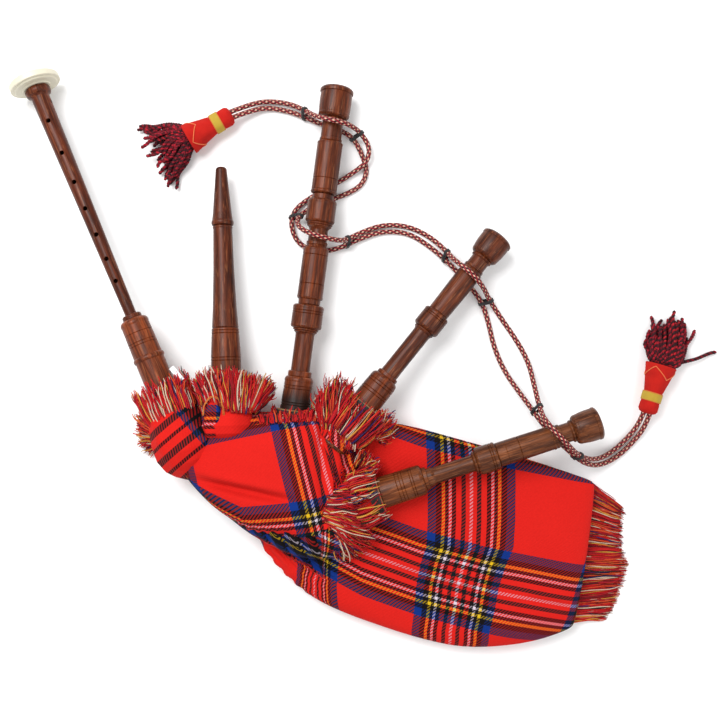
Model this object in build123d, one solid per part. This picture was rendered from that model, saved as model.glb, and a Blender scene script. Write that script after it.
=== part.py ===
"""A small set of mouth-blown bagpipes lying flat: a bag in a tartan cover, with a chanter,
a blowpipe, one bass drone and two tenor drones tied into it, and a tasselled drone cord.

Millimetres. The ground is z = 0, +Z is up, +X points from the chanter towards the tail of the
bag, and the origin is under the middle of the set. On every pipe, distances run along its axis
from its outer end (sole, tip or bell) towards the bag.
"""

from build123d import *
from dataclasses import dataclass
from math import hypot, pi, radians, tan
import os

# --- Fits and soft goods -------------------------------------------------------------------
RUNNING_FIT = 0.05  # radial clearance of a hemped tenon in its bore
HEMP_SEAT_GAP = 0.05  # between hemp and the tenon that it is wound on
COVER_THICKNESS = 2.0
COVER_TO_BAG = 2.4
BAG_THICKNESS = 2.0
NECK_GAP = 0.3  # between a stock and the neck of the bag round it
NECK_WALL = 2.0
COVER_HOLE_GAP = 0.4
BINDING_HEIGHT = 2.2
BINDING_LENGTH = 9.0
BINDING_ROOM = 0.3
GROUND_CLEARANCE = 0.5  # under soft pieces that stand clear of the ground

# --- Bores (radius) and wall-side sizes ------------------------------------------------------
STOCK_BORE = 9.5
TENOR_STOCK_BORE = 9.2
CHANTER_STOCK_BORE = 8.5
BASS_BELL_BORE = 9.0
BASS_BELL_DEPTH = 22.0
TENOR_BELL_BORE = 8.5
TENOR_BELL_DEPTH = 20.0
BASS_CHAMBER_BORE = 8.2
TENOR_CHAMBER_BORE = 7.2
BREATH_BORE = 3.0
SOLE_EXIT_BORE = 6.0
BASS_AIRWAY = 4.0
TENOR_AIRWAY = 3.5

# --- Cord and tassels --------------------------------------------------------------------------
CORD_DIAMETER = 5.0
TIE_THICKNESS = 3.5
TIE_WALL = 1.2
TASSEL_CAP = 9.2
TASSEL_CONE = 15.0
TASSEL_BAND = (12.5, 21.5)
TASSEL_HEAD_LENGTH = 49.0

# --- Where the pipes lie: the outer end, and a point nearer the bag on the same axis ----------
CHANTER_LINE = ((-277.7, 270.7, 26.0), (-155.3, -16.9, 38.0))
BLOWPIPE_LINE = ((-96.5, 189.1, 20.0), (-89.7, -11.2, 32.0))
BASS_LINE = ((17.5, 267.0, 20.0), (-24.0, -51.8, 28.0))
TENOR_1_LINE = ((175.5, 120.8, 22.0), (46.9, -38.9, 38.0))
TENOR_2_LINE = ((267.3, -58.5, 52.0), (46.3, -131.2, 43.0))
LEFT_TASSEL_LINE = ((-86.6, 242.3, 15.0), (-130.7, 217.0, 16.0))
RIGHT_TASSEL_LINE = ((321.8, -52.2, 15.0), (337.2, -1.5, 16.0))

# --- The bag's outline in plan, in three parts that run into each other -----------------------
FRONT_OUTLINE = [
    (-125, -48), (-68, -52), (0, -52), (22, -66), (40, -100), (38, -158), (20, -191),
    (-20, -190), (-62, -170), (-90, -148), (-121, -122),
]
NECK_OUTLINE = [(-157, -82), (-147, -62), (-128, -49), (-95, -51), (-95, -132), (-130, -108)]
REAR_OUTLINE = [
    (0, -60), (70, -61), (143, -81), (196, -96), (269, -120), (265, -166), (257, -215),
    (248, -262), (204, -276), (145, -281), (97, -271), (40, -252), (10, -239), (-14, -225),
    (-42, -199), (-62, -172), (-45, -130), (-20, -90),
]
# (height, how far the outline is drawn in there), from the ground up
FRONT_LEVELS = [(0, 9), (12, 0), (30, 0), (46, 8), (60, 21)]
NECK_LEVELS = [(0, 7), (10, 0), (46, 0), (60, 8)]
REAR_LEVELS = [(0, 7), (7, 0), (13, 0), (22, 12), (26.5, 32)]
REAR_FRINGE_OUTLINE = [
    (262, -121), (258, -166), (250, -215), (240, -260), (290, -248), (300, -207), (297, -147),
]
REAR_FRINGE_LEVELS = [(1, 2), (4, 0), (9, 0), (12, 3)]

# --- The drone cord: two strands laid side by side from tassel to tassel ----------------------
# At each drone one strand passes over the pipe and the other under it.
STRAND_A = [
    (-89.4, 244.2, 15), (-70.5, 253.5, 9), (-52, 258.5, 4), (-30, 255.5, 4.5),
    (-14.5, 247, 11.5), (-5.5, 238.5, 26), (6.5, 232.5, 39), (22.5, 229.5, 38),
    (33, 227.5, 26), (40.5, 224, 14), (49.3, 211.5, 9.5), (47, 197, 9.5),
    (35.5, 188.5, 5), (19.5, 178.5, 2.6), (1.5, 168.5, 2.6), (-14.5, 159.5, 3),
    (-26.5, 148.5, 5.5), (-29.5, 134, 5.5), (-23.5, 118, 2.6), (-9, 109.5, 2.6),
    (7.5, 109, 2.6), (22.5, 113, 5), (37.5, 120.5, 5), (61.5, 129, 2.6),
    (87.5, 127.5, 2.6), (109.5, 113.5, 2.6), (129, 96, 5.4), (146, 77, 4.2),
    (160, 60, 5), (167.5, 38.5, 2.6), (172.5, 14.5, 2.6), (183, -10.5, 3.5),
    (197, -32.5, 16), (206, -47, 31), (215.5, -61.5, 36.5), (230.5, -77.5, 34.5),
    (244, -90, 35), (259, -101, 25.5), (277, -104, 10.5), (295.5, -96.5, 3),
    (310.5, -82.5, 3), (322, -66.5, 8), (325.1, -51.6, 15),
]
STRAND_B = [
    (-86.4, 239, 15), (-70.5, 247, 9), (-52, 252, 4), (-30, 248, 3.5),
    (-13, 241, 5.5), (2.5, 235, 3), (18.5, 230, 3), (31.5, 222, 7),
    (37.5, 213, 6), (42.5, 202.5, 2.6), (47, 188.5, 2.6), (41, 174, 2.6),
    (24.5, 165, 2.6), (3.5, 158, 2.6), (-11.5, 150.5, 5), (-21.5, 141.5, 14),
    (-21.5, 131, 30), (-10, 122, 43), (6, 117.5, 43), (19, 116, 31),
    (26.5, 119, 14), (41, 127.5, 5), (62.5, 135.5, 2.6), (88.5, 134, 2.6),
    (111.5, 122, 2.6), (125.5, 107.5, 10), (130.5, 99, 25.5), (137.5, 91, 39.5),
    (150.5, 80, 41), (159.5, 70.5, 30), (167, 60.5, 11.5), (179, 43.5, 3),
    (194, 22.5, 2.6), (207, -0.5, 3.5), (211, -24, 15), (212.5, -40.5, 30),
    (213, -49.5, 44), (213.5, -55, 57), (219, -64, 69.5), (230.5, -75.5, 69),
    (241, -85, 54), (251, -92, 38.5), (264.5, -97, 23.5), (279, -96.5, 9.5),
    (293.5, -89, 3), (306.5, -76.5, 3.5), (316, -63, 8), (319.4, -49.9, 15),
]
# a tie draws the strands together near each of these places, on either side of every drone
TIE_PLACES = [
    (-14, 244, 8.5), (36.5, 223.5, 12), (-25, 141, 9.5), (24.5, 116, 9.5),
    (126, 103, 8), (164, 59.5, 8), (210, -48, 34), (248, -91.5, 37),
]


# ------------------------------------------------------------------------------------------
# Building blocks
# ------------------------------------------------------------------------------------------
class Pipe:
    """A straight axis. Its frame has +Z towards the bag and +X as near upwards as can be."""

    def __init__(self, line):
        start, inner = Vector(*line[0]), Vector(*line[1])
        self.start = start
        self.axis = (inner - start).normalized()
        upward = Vector(0, 0, 1) - self.axis * self.axis.Z
        self.plane = Plane(origin=start, x_dir=upward, z_dir=self.axis)

    def place(self, shape):
        """A shape from the pipe's own frame, put where the pipe lies."""
        return self.plane.location * shape

    def at(self, distance):
        """The point of the axis at this distance from the outer end."""
        return self.start + self.axis * distance


def turned(outer, bore=((0, 0),)):
    """A lathe-turned solid about Z. outer and bore are stations from one end to the other.
    A station (distance, radius) ends a straight cut, and one of four numbers ends an arc
    through its first pair at its second. Without a bore the solid is full."""
    if len(bore) == 1:
        bore = [(outer[0][0], 0), (outer[-1][-2], 0)]
    stations = list(outer) + list(reversed(bore))
    cuts, here = [], (stations[0][-1], 0, stations[0][-2])
    for station in stations[1:] + [stations[0]]:
        there = (station[-1], 0, station[-2])
        if len(station) == 4:
            cuts.append(ThreePointArc(here, (station[1], 0, station[0]), there))
        elif hypot(there[0] - here[0], there[2] - here[2]) > 1e-6:
            cuts.append(Line(here, there))
        here = there
    return revolve(make_face(Wire(cuts)), Axis.Z)


def groove(at, radius, width=1.0, depth=0.55):
    """A V groove cut round a pipe."""
    return [(at - width / 2, radius), (at, radius - depth), (at + width / 2, radius)]


def double_groove(at, radius, spacing=3.0):
    """Two V grooves side by side, centred at this distance."""
    return groove(at - spacing / 2, radius) + groove(at + spacing / 2, radius)


def bead(start, end, base, crest):
    """A rounded ring standing out of a pipe."""
    return [(start, base), ((start + end) / 2, crest, end, base)]


def ring(start, end, inner, outer):
    """A plain sleeve about Z."""
    return turned([(start, outer), (end, outer)], [(start, inner), (end, inner)])


def hemp(start, end, tenon, bore):
    """Hemp wound on a tenon so that it just runs in its bore, with soft ends."""
    crest, edge = bore - RUNNING_FIT, bore - 0.45
    outer = [(start, edge), (start + 1, crest), (end - 1, crest), (end, edge)]
    return turned(outer, [(start, tenon + HEMP_SEAT_GAP), (end, tenon + HEMP_SEAT_GAP)])


def drawn_in(outline, distance):
    """A clockwise outline with every side moved inwards by this distance."""
    moved, count = [], len(outline)
    for i in range(count):
        before, here, after = outline[i - 1], outline[i], outline[(i + 1) % count]
        first = (here[0] - before[0], here[1] - before[1])
        second = (after[0] - here[0], after[1] - here[1])
        a, b = hypot(*first), hypot(*second)
        n = (first[1] / a, -first[0] / a)
        m = (second[1] / b, -second[0] / b)
        share = distance / (1 + n[0] * m[0] + n[1] * m[1])
        moved.append((here[0] + (n[0] + m[0]) * share, here[1] + (n[1] + m[1]) * share))
    return moved


def clockwise(outline):
    """The same outline, run clockwise."""
    pairs = zip(outline, outline[1:] + outline[:1])
    turn = sum(p[0] * q[1] - q[0] * p[1] for p, q in pairs)
    return list(outline) if turn < 0 else list(reversed(outline))


def pillow(outline, levels, shrink=0.0):
    """A flat-sided pillow: the outline drawn in by each level's amount at its height, with
    the whole of it shrunk by the same distance all round."""
    top = levels[-1][0] - shrink
    heights = [min(max(z, levels[0][0] + shrink), top) for z, _ in levels]
    shape = clockwise(outline)
    rings = [
        [(x, y, z) for x, y in drawn_in(shape, inset + shrink)]
        for z, (_, inset) in zip(heights, levels)
    ]
    faces = [Face(Wire.make_polygon(rings[0])), Face(Wire.make_polygon(rings[-1]))]
    for low, high in zip(rings, rings[1:]):
        for i in range(len(low)):
            j = (i + 1) % len(low)
            faces.append(Face(Wire.make_polygon([low[i], low[j], high[j], high[i]])))
    return Solid(Shell(faces))


def bag_body(shrink=0.0):
    """The bag's whole outer form, or a smaller one inside it."""
    front = pillow(FRONT_OUTLINE, FRONT_LEVELS, shrink)
    neck = pillow(NECK_OUTLINE, NECK_LEVELS, shrink)
    rear = pillow(REAR_OUTLINE, REAR_LEVELS, shrink)
    return (front + neck + rear).clean()


def corner_radii(route):
    """The largest even arc at each corner of a cord's route: it takes 0.45 of the shorter
    run on either side."""
    points = [Vector(*p) for p in route]
    found = []
    for before, here, after in zip(points, points[1:], points[2:]):
        one, two = here - before, after - here
        turn = radians(one.get_angle(two))
        found.append(0.45 * min(one.length, two.length) / tan(turn / 2))
    return found


def cord_tube(route):
    """A round tube along the route's straight runs and the arcs between them."""
    path = FilletPolyline(*route, radius=corner_radii(route))
    section = Plane(origin=path @ 0, z_dir=path % 0) * Circle(CORD_DIAMETER / 2)
    return path, sweep(section, path=path)


def export(name, shape):
    """Writes one node."""
    export_step(shape, f"parts/{name}.step")


os.makedirs("parts", exist_ok=True)
chanter_pipe = Pipe(CHANTER_LINE)
blow_pipe = Pipe(BLOWPIPE_LINE)
bass_pipe = Pipe(BASS_LINE)
tenor_pipes = (Pipe(TENOR_1_LINE), Pipe(TENOR_2_LINE))

@dataclass
class TieIn:
    """How a stock is tied into the bag, as distances along its pipe and radii."""

    pipe: Pipe
    stock_end: float
    stock: float  # the stock's radius in the neck of the bag
    neck: float  # where the neck of the bag begins
    tips: float  # the outer edge of the fringe collar, and its radius there
    tip_radius: float
    base: float  # the inner edge of the fringe collar, and its radius there
    base_radius: float


TIE_INS = {
    "chanter": TieIn(chanter_pipe, 350, 14.3, 325, 314, 29, 356, 23),
    "blowpipe": TieIn(blow_pipe, 255, 14.6, 212, 201, 31, 246, 24),
    "bass": TieIn(bass_pipe, 375, 15.0, 318, 314, 24, 338, 21.5),
    "tenor_1": TieIn(tenor_pipes[0], 262, 14.4, 210, 202, 34, 246, 25),
    "tenor_2": TieIn(tenor_pipes[1], 262, 15.2, 219, 212, 35, 244, 30),
}


# ------------------------------------------------------------------------------------------
# Chanter: sole, melody pipe, reed and stock
# ------------------------------------------------------------------------------------------
FINGER_HOLES = [43.2, 77.1, 107.8, 135.6, 163.0, 188.4, 211.6]
FINGER_HOLE_RADIUS = 2.25
THUMB_HOLE = 222.0
SOUND_HOLES = 24.0
CHANTER_REED_SEAT = 3.6

sole = turned(
    [(-3, 19.5), (-2.5, 23.4, -1.0, 24.7), (3.6, 24.7), (4.1, 24.0), (4.2, 21.6),
     (5.3, 21.0, 5.6, 19.5), (5.8, 14.4), (6.8, 13.6)],
    [(-3, 8.05), (6.8, 8.05)],
)
export("chanter_sole", chanter_pipe.place(sole))

chanter_outer = [
    (0.4, 7.5), (0.9, 8.0), (6.8, 8.0), (6.8, 11.4), (10.2, 12.5, 13.8, 11.3),
    (15.2, 9.5, 18.5, 8.85), (246.4, 5.5), (246.8, 8.4), (247.8, 9.3, 249.2, 9.4),
    (250.9, 9.4), (250.9, 7.2), (281, 7.2),
]
chanter_bore = [(0.4, SOLE_EXIT_BORE), (262, 2.1), (262, CHANTER_REED_SEAT), (281, CHANTER_REED_SEAT)]
chanter = turned(chanter_outer, chanter_bore)
for at in FINGER_HOLES:
    chanter -= Pos(0, 0, at) * Rot(0, 90, 0) * Cylinder(
        FINGER_HOLE_RADIUS, 15, align=(Align.CENTER, Align.CENTER, Align.MIN)
    )
chanter -= Pos(0, 0, THUMB_HOLE) * Rot(0, -90, 0) * Cylinder(
    FINGER_HOLE_RADIUS, 15, align=(Align.CENTER, Align.CENTER, Align.MIN)
)
chanter -= Pos(0, 0, SOUND_HOLES) * Rot(90, 0, 0) * Cylinder(FINGER_HOLE_RADIUS, 30)
export("chanter", chanter_pipe.place(chanter))
export("chanter_hemp", chanter_pipe.place(hemp(256, 276, 7.2, CHANTER_STOCK_BORE)))

chanter_stock = turned(
    [(251.3, 10.0), (252.6, 12.6, 257.5, 13.5), *groove(265.8, 13.7), *double_groove(276.5, 13.9),
     *bead(289.3, 294.5, 14.1, 15.3), (348.5, 14.3), (350, 13.2)],
    [(251.3, CHANTER_STOCK_BORE), (350, CHANTER_STOCK_BORE)],
)
export("chanter_stock", chanter_pipe.place(chanter_stock))

# double reed: two blades on a brass staple, bound with thread
staple = turned([(268, 2.4), (290, 2.4)], [(268, 1.6), (290, 1.6)])
export("chanter_reed_staple", chanter_pipe.place(staple))
binding = ring(284.0, 296.0, 3.65, 4.6)
export("chanter_reed_binding", chanter_pipe.place(binding))
blade_plan = Polygon(
    (-2.4, 290.2), (2.4, 290.2), (2.4, 296), (5.8, 312), (-5.8, 312), (-2.4, 296), align=None
)
blade_side = Polygon((0.1, 290.2), (2.5, 290.2), (2.5, 298), (0.6, 312), (0.1, 312), align=None)
across = Plane(origin=(0, 0, 0), x_dir=(0, 1, 0), z_dir=(1, 0, 0))
along = Plane(origin=(0, 0, 0), x_dir=(1, 0, 0), z_dir=(0, -1, 0))
blade = extrude(across * blade_plan, 6) & extrude(along * blade_side, 8, both=True)
blades = Compound(children=[blade, mirror(blade, Plane.YZ)])
export("chanter_reed_blades", chanter_pipe.place(blades))

# ------------------------------------------------------------------------------------------
# Blowpipe: mouthpiece, tube, non-return valve and stock
# ------------------------------------------------------------------------------------------
VALVE_HINGE_HEIGHT = 7.4
VALVE_HINGE_AT = 195.5
VALVE_PIN_RADIUS = 0.5

mouthpiece = turned(
    [(0, 3.5), (1.0, 4.8, 3.6, 5.5), (12.9, 6.3), (37.7, 8.5), (45, 9.1), (52.4, 10.1),
     *bead(52.6, 57.4, 10.2, 10.9), (57.6, 9.3), (57.6, 5.2), (72, 5.2)],
    [(0, BREATH_BORE), (72, BREATH_BORE)],
)
export("mouthpiece", blow_pipe.place(mouthpiece))
export("mouthpiece_hemp", blow_pipe.place(hemp(60, 69, 5.2, 6.0)))

blowpipe = turned(
    [(57.9, 8.8), (58.7, 9.5, 61, 9.25), (100.7, 10.1), (139.9, 11.6), (157.2, 12.8),
     (158.0, 12.3), (158.0, 8.6), (190, 8.6)],
    [(57.9, 6.0), (74, 6.0), (74, BASS_AIRWAY), (190, BASS_AIRWAY)],
)
export("blowpipe", blow_pipe.place(blowpipe))
export("blowpipe_hemp", blow_pipe.place(hemp(164, 184, 8.6, STOCK_BORE)))

blowpipe_stock = turned(
    [(158.4, 12.5), (159.0, 13.1), *double_groove(162.2, 13.3), *double_groove(188.6, 14.5),
     (253.5, 14.6), (255, 13.5)],
    [(158.4, STOCK_BORE), (255, STOCK_BORE)],
)
export("blowpipe_stock", blow_pipe.place(blowpipe_stock))

# the valve: a brass seat on the end of the blowpipe, with a leather flap hung from a pin
lug = Pos(VALVE_HINGE_HEIGHT, 2.8, 195.35) * Box(1.9, 1.0, 2.7)
pin_line = Pos(VALVE_HINGE_HEIGHT, 0, VALVE_HINGE_AT) * Rot(90, 0, 0)
valve_seat = ring(190.2, 194.0, BASS_AIRWAY, 8.4) + lug + mirror(lug, Plane.XZ)
valve_seat -= pin_line * Cylinder(VALVE_PIN_RADIUS, 12)
export("valve_seat", blow_pipe.place(valve_seat))
export("valve_pin", blow_pipe.place(pin_line * Cylinder(VALVE_PIN_RADIUS - 0.02, 6.4)))
flap = ring(194.3, 195.3, 0, 6.0) + Pos(5.4, 0, 194.8) * Box(3.0, 4.0, 1.0)
flap += pin_line * Cylinder(1.1, 4.0)
flap -= pin_line * Cylinder(VALVE_PIN_RADIUS + RUNNING_FIT, 12)
export("valve_flap", blow_pipe.place(flap))


# ------------------------------------------------------------------------------------------
# Drone reeds, shared by the three drones
# ------------------------------------------------------------------------------------------
def drone_reed(name, pipe, seat, length, radius, airway):
    """A single-tongue reed: a tube closed at its far end with a flat cut in its upper side,
    a tongue lying on that flat, and the bridle that sets the tongue's length."""
    end = seat + length
    flat = radius * 0.7
    body = turned(
        [(seat, radius + 0.6), (seat + 9.8, radius + 0.6), (seat + 10.2, radius),
         (end - 2, radius), (end, radius - 1.3), (end, 0)],
        [(seat, airway), (end - 5, airway), (end - 5, 0)],
    )
    cut_start, cut_end = seat + 0.32 * length, seat + 0.86 * length
    cut_length, middle = cut_end - cut_start, (cut_start + cut_end) / 2
    body -= Pos(flat + radius / 2, 0, middle) * Box(radius, 4 * radius, cut_length)
    tongue_width = 1.1 * radius
    tongue = Pos(flat + 0.4, 0, middle) * Box(0.8, tongue_width, cut_length - 0.4)
    inner = hypot(flat + 0.8, tongue_width / 2) + 0.15
    bridle = ring(cut_start + 4, cut_start + 7, max(inner, radius + 0.1), inner + 1.2)
    export(f"{name}_reed_body", pipe.place(body))
    export(f"{name}_reed_tongue", pipe.place(tongue))
    export(f"{name}_reed_bridle", pipe.place(bridle))


# ------------------------------------------------------------------------------------------
# Bass drone: top, middle and bottom joints, and stock
# ------------------------------------------------------------------------------------------
BASS_PIN = 7.4

bass_top = turned(
    [(0, 10.0), (0.7, 14.3, 3.0, 16.4), (5.4, 16.4), (6.0, 15.3), (16, 15.6, 25.5, 15.0),
     (29.4, 14.2, 30.6, 11.6), *bead(31.0, 33.2, 10.7, 11.5), (34, 10.2), (50.6, 10.2),
     (50.9, 10.9), (53.0, 10.9), (53.4, 10.5), (54.0, 11.2), (54.7, 12.2, 56.6, 12.4),
     *groove(90.8, 12.4), (101.6, 12.4), (102.0, 12.1), (103.9, 12.9, 105.3, 11.5),
     (105.6, 11.0)],
    [(0, BASS_BELL_BORE), (BASS_BELL_DEPTH, BASS_BELL_BORE), (BASS_BELL_DEPTH, 4.5),
     (56, 4.5), (58, BASS_CHAMBER_BORE), (105.6, BASS_CHAMBER_BORE)],
)
export("bass_top_joint", bass_pipe.place(bass_top))

bass_middle = turned(
    [(62, 6.8), (62.8, BASS_PIN), (106.0, BASS_PIN), (106.0, 9.8), (106.6, 10.4), (111, 10.4),
     (111.2, 12.2), (112.6, 13.9, 115.4, 14.2), (130.8, 14.2), (133.2, 13.8, 134.2, 12.6),
     *bead(134.4, 136.2, 12.2, 12.8), *bead(136.4, 138.0, 11.4, 11.9), (139.6, 9.8, 142.6, 9.2),
     (152.6, 9.2), (153.2, 10.3), (155.6, 10.3), (156.2, 9.7), (158.4, 10.4),
     (159.2, 12.0, 161.4, 12.4), *groove(166.0, 12.4), *groove(194.5, 12.4), (206, 12.4),
     (208.8, 12.1, 209.8, 10.8), (214.2, 10.5), (214.8, 10.1)],
    [(62, BASS_AIRWAY), (168, BASS_AIRWAY), (169.5, BASS_CHAMBER_BORE),
     (214.8, BASS_CHAMBER_BORE)],
)
export("bass_middle_joint", bass_pipe.place(bass_middle))
export("bass_middle_hemp", bass_pipe.place(hemp(68, 98, BASS_PIN, BASS_CHAMBER_BORE)))

bass_bottom = turned(
    [(172, 6.8), (172.8, BASS_PIN), (215.2, BASS_PIN), (215.2, 13.2),
     (216.4, 14.8, 218.6, 15.0), *double_groove(222.4, 15.0, 2.6), (234.6, 15.0),
     (237.4, 14.4, 238.2, 12.6), *bead(238.4, 240.2, 11.9, 12.5), *bead(240.4, 242.0, 10.6, 11.2),
     (242.8, 9.6), (244.4, 9.2), (280.6, 9.2), (281.4, 8.4), (312, 8.4)],
    [(172, BASS_AIRWAY), (300, BASS_AIRWAY), (300, 5.2), (312, 5.2)],
)
export("bass_bottom_joint", bass_pipe.place(bass_bottom))
bass_bottom_hemps = [
    hemp(178, 206, BASS_PIN, BASS_CHAMBER_BORE),
    hemp(286, 306, 8.4, STOCK_BORE),
]
export("bass_bottom_hemp", bass_pipe.place(Compound(children=bass_bottom_hemps)))

bass_stock = turned(
    [(279.9, 10.6), (280.6, 11.5), (284.6, 11.5), (285.2, 11.1), (286.2, 12.8, 290.5, 13.7),
     *double_groove(296.0, 13.9), *double_groove(312.2, 14.5, 2.6), (328, 15.0), (373.5, 15.0),
     (375, 14.0)],
    [(279.9, STOCK_BORE), (375, STOCK_BORE)],
)
export("bass_stock", bass_pipe.place(bass_stock))
drone_reed("bass", bass_pipe, 301.0, 64.0, 4.4, 2.2)


# ------------------------------------------------------------------------------------------
# Tenor drones: top and bottom joints, and stock
# ------------------------------------------------------------------------------------------
TENOR_PIN = 6.4
# the end of the chamber, the end of the mount, the mouth of the stock, and radii of the
# chamber at either end, of the mount, of the neck and of the stock
TENOR_SIZES = [
    (96.6, 121.0, 173.2, 11.3, 10.4, 13.2, 8.8, 14.4),
    (101.6, 126.4, 171.6, 11.5, 11.7, 13.4, 8.0, 15.2),
]


def tenor_drone(name, pipe, sizes, chamber_rings, stock_rings):
    """One tenor drone. chamber_rings and stock_rings are the cuts that its chamber and its
    stock carry, as stations."""
    chamber_end, mount_end, mouth, chamber_start, chamber_tail, mount, neck, stock = sizes
    bottom = chamber_end + 0.3
    top = turned(
        [(0, 9.4), (0.6, 13.4, 2.6, 15.9), (4.8, 16.0), (5.3, 15.4), (14, 15.3, 21.4, 14.3),
         (25.2, 12.9, 26.4, 10.6), *bead(26.8, 29.0, 10.0, 10.9), (30, 9.3), (38.8, 9.3),
         (39.2, 10.3), (41.2, 10.3), (41.6, 9.9), (42.4, chamber_start - 0.9),
         (43.2, chamber_start - 0.2, 45, chamber_start), *chamber_rings,
         (chamber_end - 0.6, chamber_tail), (chamber_end, chamber_tail - 0.5)],
        [(0, TENOR_BELL_BORE), (TENOR_BELL_DEPTH, TENOR_BELL_BORE),
         (TENOR_BELL_DEPTH, TENOR_AIRWAY), (45, TENOR_AIRWAY), (46.5, TENOR_CHAMBER_BORE),
         (chamber_end, TENOR_CHAMBER_BORE)],
    )
    export(f"{name}_top_joint", pipe.place(top))
    seat = mouth + 20
    joint = turned(
        [(52, 5.8), (52.8, TENOR_PIN), (bottom, TENOR_PIN), (bottom, mount - 1.6),
         (bottom + 0.8, mount - 0.4, bottom + 2.6, mount), *double_groove(bottom + 5, mount, 2.2),
         (mount_end - 7.5, mount), (mount_end - 4.6, mount - 0.9, mount_end - 3.6, mount - 2.6),
         *bead(mount_end - 3.4, mount_end - 1.4, mount - 3.2, mount - 2.6),
         (mount_end, neck + 0.2), (mount_end + 2, neck), (mouth - 7, neck), (mouth - 4, 8.9),
         (mouth + 0.8, 8.9), (mouth + 1.6, 8.0), (mouth + 32, 8.0)],
        [(52, TENOR_AIRWAY), (seat, TENOR_AIRWAY), (seat, 4.6), (mouth + 32, 4.6)],
    )
    export(f"{name}_bottom_joint", pipe.place(joint))
    wraps = [
        hemp(58, 86, TENOR_PIN, TENOR_CHAMBER_BORE),
        hemp(mouth + 6, mouth + 26, 8.0, TENOR_STOCK_BORE),
    ]
    export(f"{name}_hemp", pipe.place(Compound(children=wraps)))
    end = TIE_INS[name].stock_end
    holder = turned(
        [(mouth, 10.2), (mouth + 0.6, 10.9), (mouth + 3.4, 10.9), (mouth + 3.8, 10.5),
         (mouth + 4.8, stock - 1.9, mouth + 8.5, stock - 0.5), *stock_rings, (end - 1.5, stock),
         (end, stock - 1)],
        [(mouth, TENOR_STOCK_BORE), (end, TENOR_STOCK_BORE)],
    )
    export(f"{name}_stock", pipe.place(holder))
    drone_reed(name, pipe, seat + 1.0, 52.0, 3.8, 1.9)


tenor_drone(
    "tenor_1", tenor_pipes[0], TENOR_SIZES[0], [(70, 11.0)],
    [*double_groove(186.0, 14.2), *double_groove(196.0, 14.4)],
)
tenor_drone(
    "tenor_2", tenor_pipes[1], TENOR_SIZES[1],
    [*bead(46.4, 48.6, 11.4, 12.0), *groove(79.8, 11.7), *groove(92.6, 11.7, 0.9, 0.35)],
    [*double_groove(186.5, 14.9, 2.4), *double_groove(196.5, 15.0), *groove(201.5, 15.0),
     *groove(218.5, 15.2, 1.4)],
)


# ------------------------------------------------------------------------------------------
# Inner bag, cover, bindings and fringes
# ------------------------------------------------------------------------------------------
def stock_column(pipe, radius, start, end):
    """A plain cylinder along a pipe, to cut with."""
    return pipe.place(ring(start, end, 0, radius))


body = bag_body()
cover = body - bag_body(COVER_THICKNESS)
skin = COVER_THICKNESS + COVER_TO_BAG
bag = bag_body(skin) - bag_body(skin + BAG_THICKNESS)
bindings = []
for name, tie_in in TIE_INS.items():
    pipe, neck, end = tie_in.pipe, tie_in.neck, tie_in.stock_end
    neck_in = tie_in.stock + NECK_GAP
    neck_out = neck_in + NECK_WALL
    bound = neck_out + HEMP_SEAT_GAP
    room = bound + BINDING_HEIGHT + BINDING_ROOM
    unbound = neck + 1 + BINDING_LENGTH
    binding_room = stock_column(pipe, room, tie_in.tips, unbound + BINDING_ROOM)
    hollow = stock_column(pipe, neck_in + NECK_WALL / 2, neck, end + 2)
    sleeve = pipe.place(ring(neck, end - 3, neck_in, neck_out))
    bag = bag - binding_room - hollow + sleeve
    cover -= binding_room
    cover -= stock_column(pipe, neck_out + COVER_HOLE_GAP, tie_in.tips, end + 4)
    bindings.append(pipe.place(ring(neck + 1, unbound, bound, bound + BINDING_HEIGHT)))
    collar = turned(
        [(tie_in.tips, tie_in.tip_radius), (tie_in.base, tie_in.base_radius)],
        [(tie_in.tips, tie_in.stock + 1), (neck - 1, tie_in.stock + 1), (neck - 1, room),
         (tie_in.base, room)],
    )
    collar = pipe.place(collar) - body
    export(f"{name}_collar", max(collar.solids(), key=lambda s: s.volume))
export("bag_cover", max(cover.solids(), key=lambda s: s.volume))
export("inner_bag", max(bag.solids(), key=lambda s: s.volume))
export("stock_bindings", Compound(children=bindings))

rear_fringe = pillow(REAR_FRINGE_OUTLINE, REAR_FRINGE_LEVELS) - body
export("rear_fringe", max(rear_fringe.solids(), key=lambda s: s.volume))

# the loose tail of the chanter's binding, which shows beside its stock
tail = Pos(16, -21.5, 318) * Rot(17, 0, 0) * Box(0.8, 5.0, 16.0)
export("binding_tail", chanter_pipe.place(tail))


# ------------------------------------------------------------------------------------------
# Drone cord with its ties and tassels
# ------------------------------------------------------------------------------------------
def strand_at(path, place):
    """The point of a strand nearest to a place, and the strand's direction there."""
    _, spot, _ = path.distance_to_with_closest_points(place)
    return spot, path.tangent_at(path.param_at_point(spot))


strands = []
for name, route in (("cord_strand_a", STRAND_A), ("cord_strand_b", STRAND_B)):
    path, tube = cord_tube(route)
    filled = tube.volume / (pi * (CORD_DIAMETER / 2) ** 2 * path.length)
    print(f"{name}: length {path.length:.1f}, volume over section x length {filled:.4f}")
    print("  radii", *(f"{radius:.0f}" for radius in corner_radii(route)))
    strands.append(path)
    export(name, tube)

ties = []
for place in TIE_PLACES:
    (spot_a, run_a), (spot_b, run_b) = (strand_at(path, place) for path in strands)
    run = (run_a + run_b).normalized()
    between = spot_a - spot_b
    across_run = between - run * between.dot(run)
    print(f"tie at {place}: strands {across_run.length:.1f} apart, {between.dot(run):.1f} along")
    face = Plane(origin=(spot_a + spot_b) * 0.5, x_dir=across_run, z_dir=run)
    slot = face * SlotCenterToCenter(across_run.length, CORD_DIAMETER + 2 * TIE_WALL)
    ties.append(extrude(slot, TIE_THICKNESS / 2, both=True))
export("cord_ties", Compound(children=ties))


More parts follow.
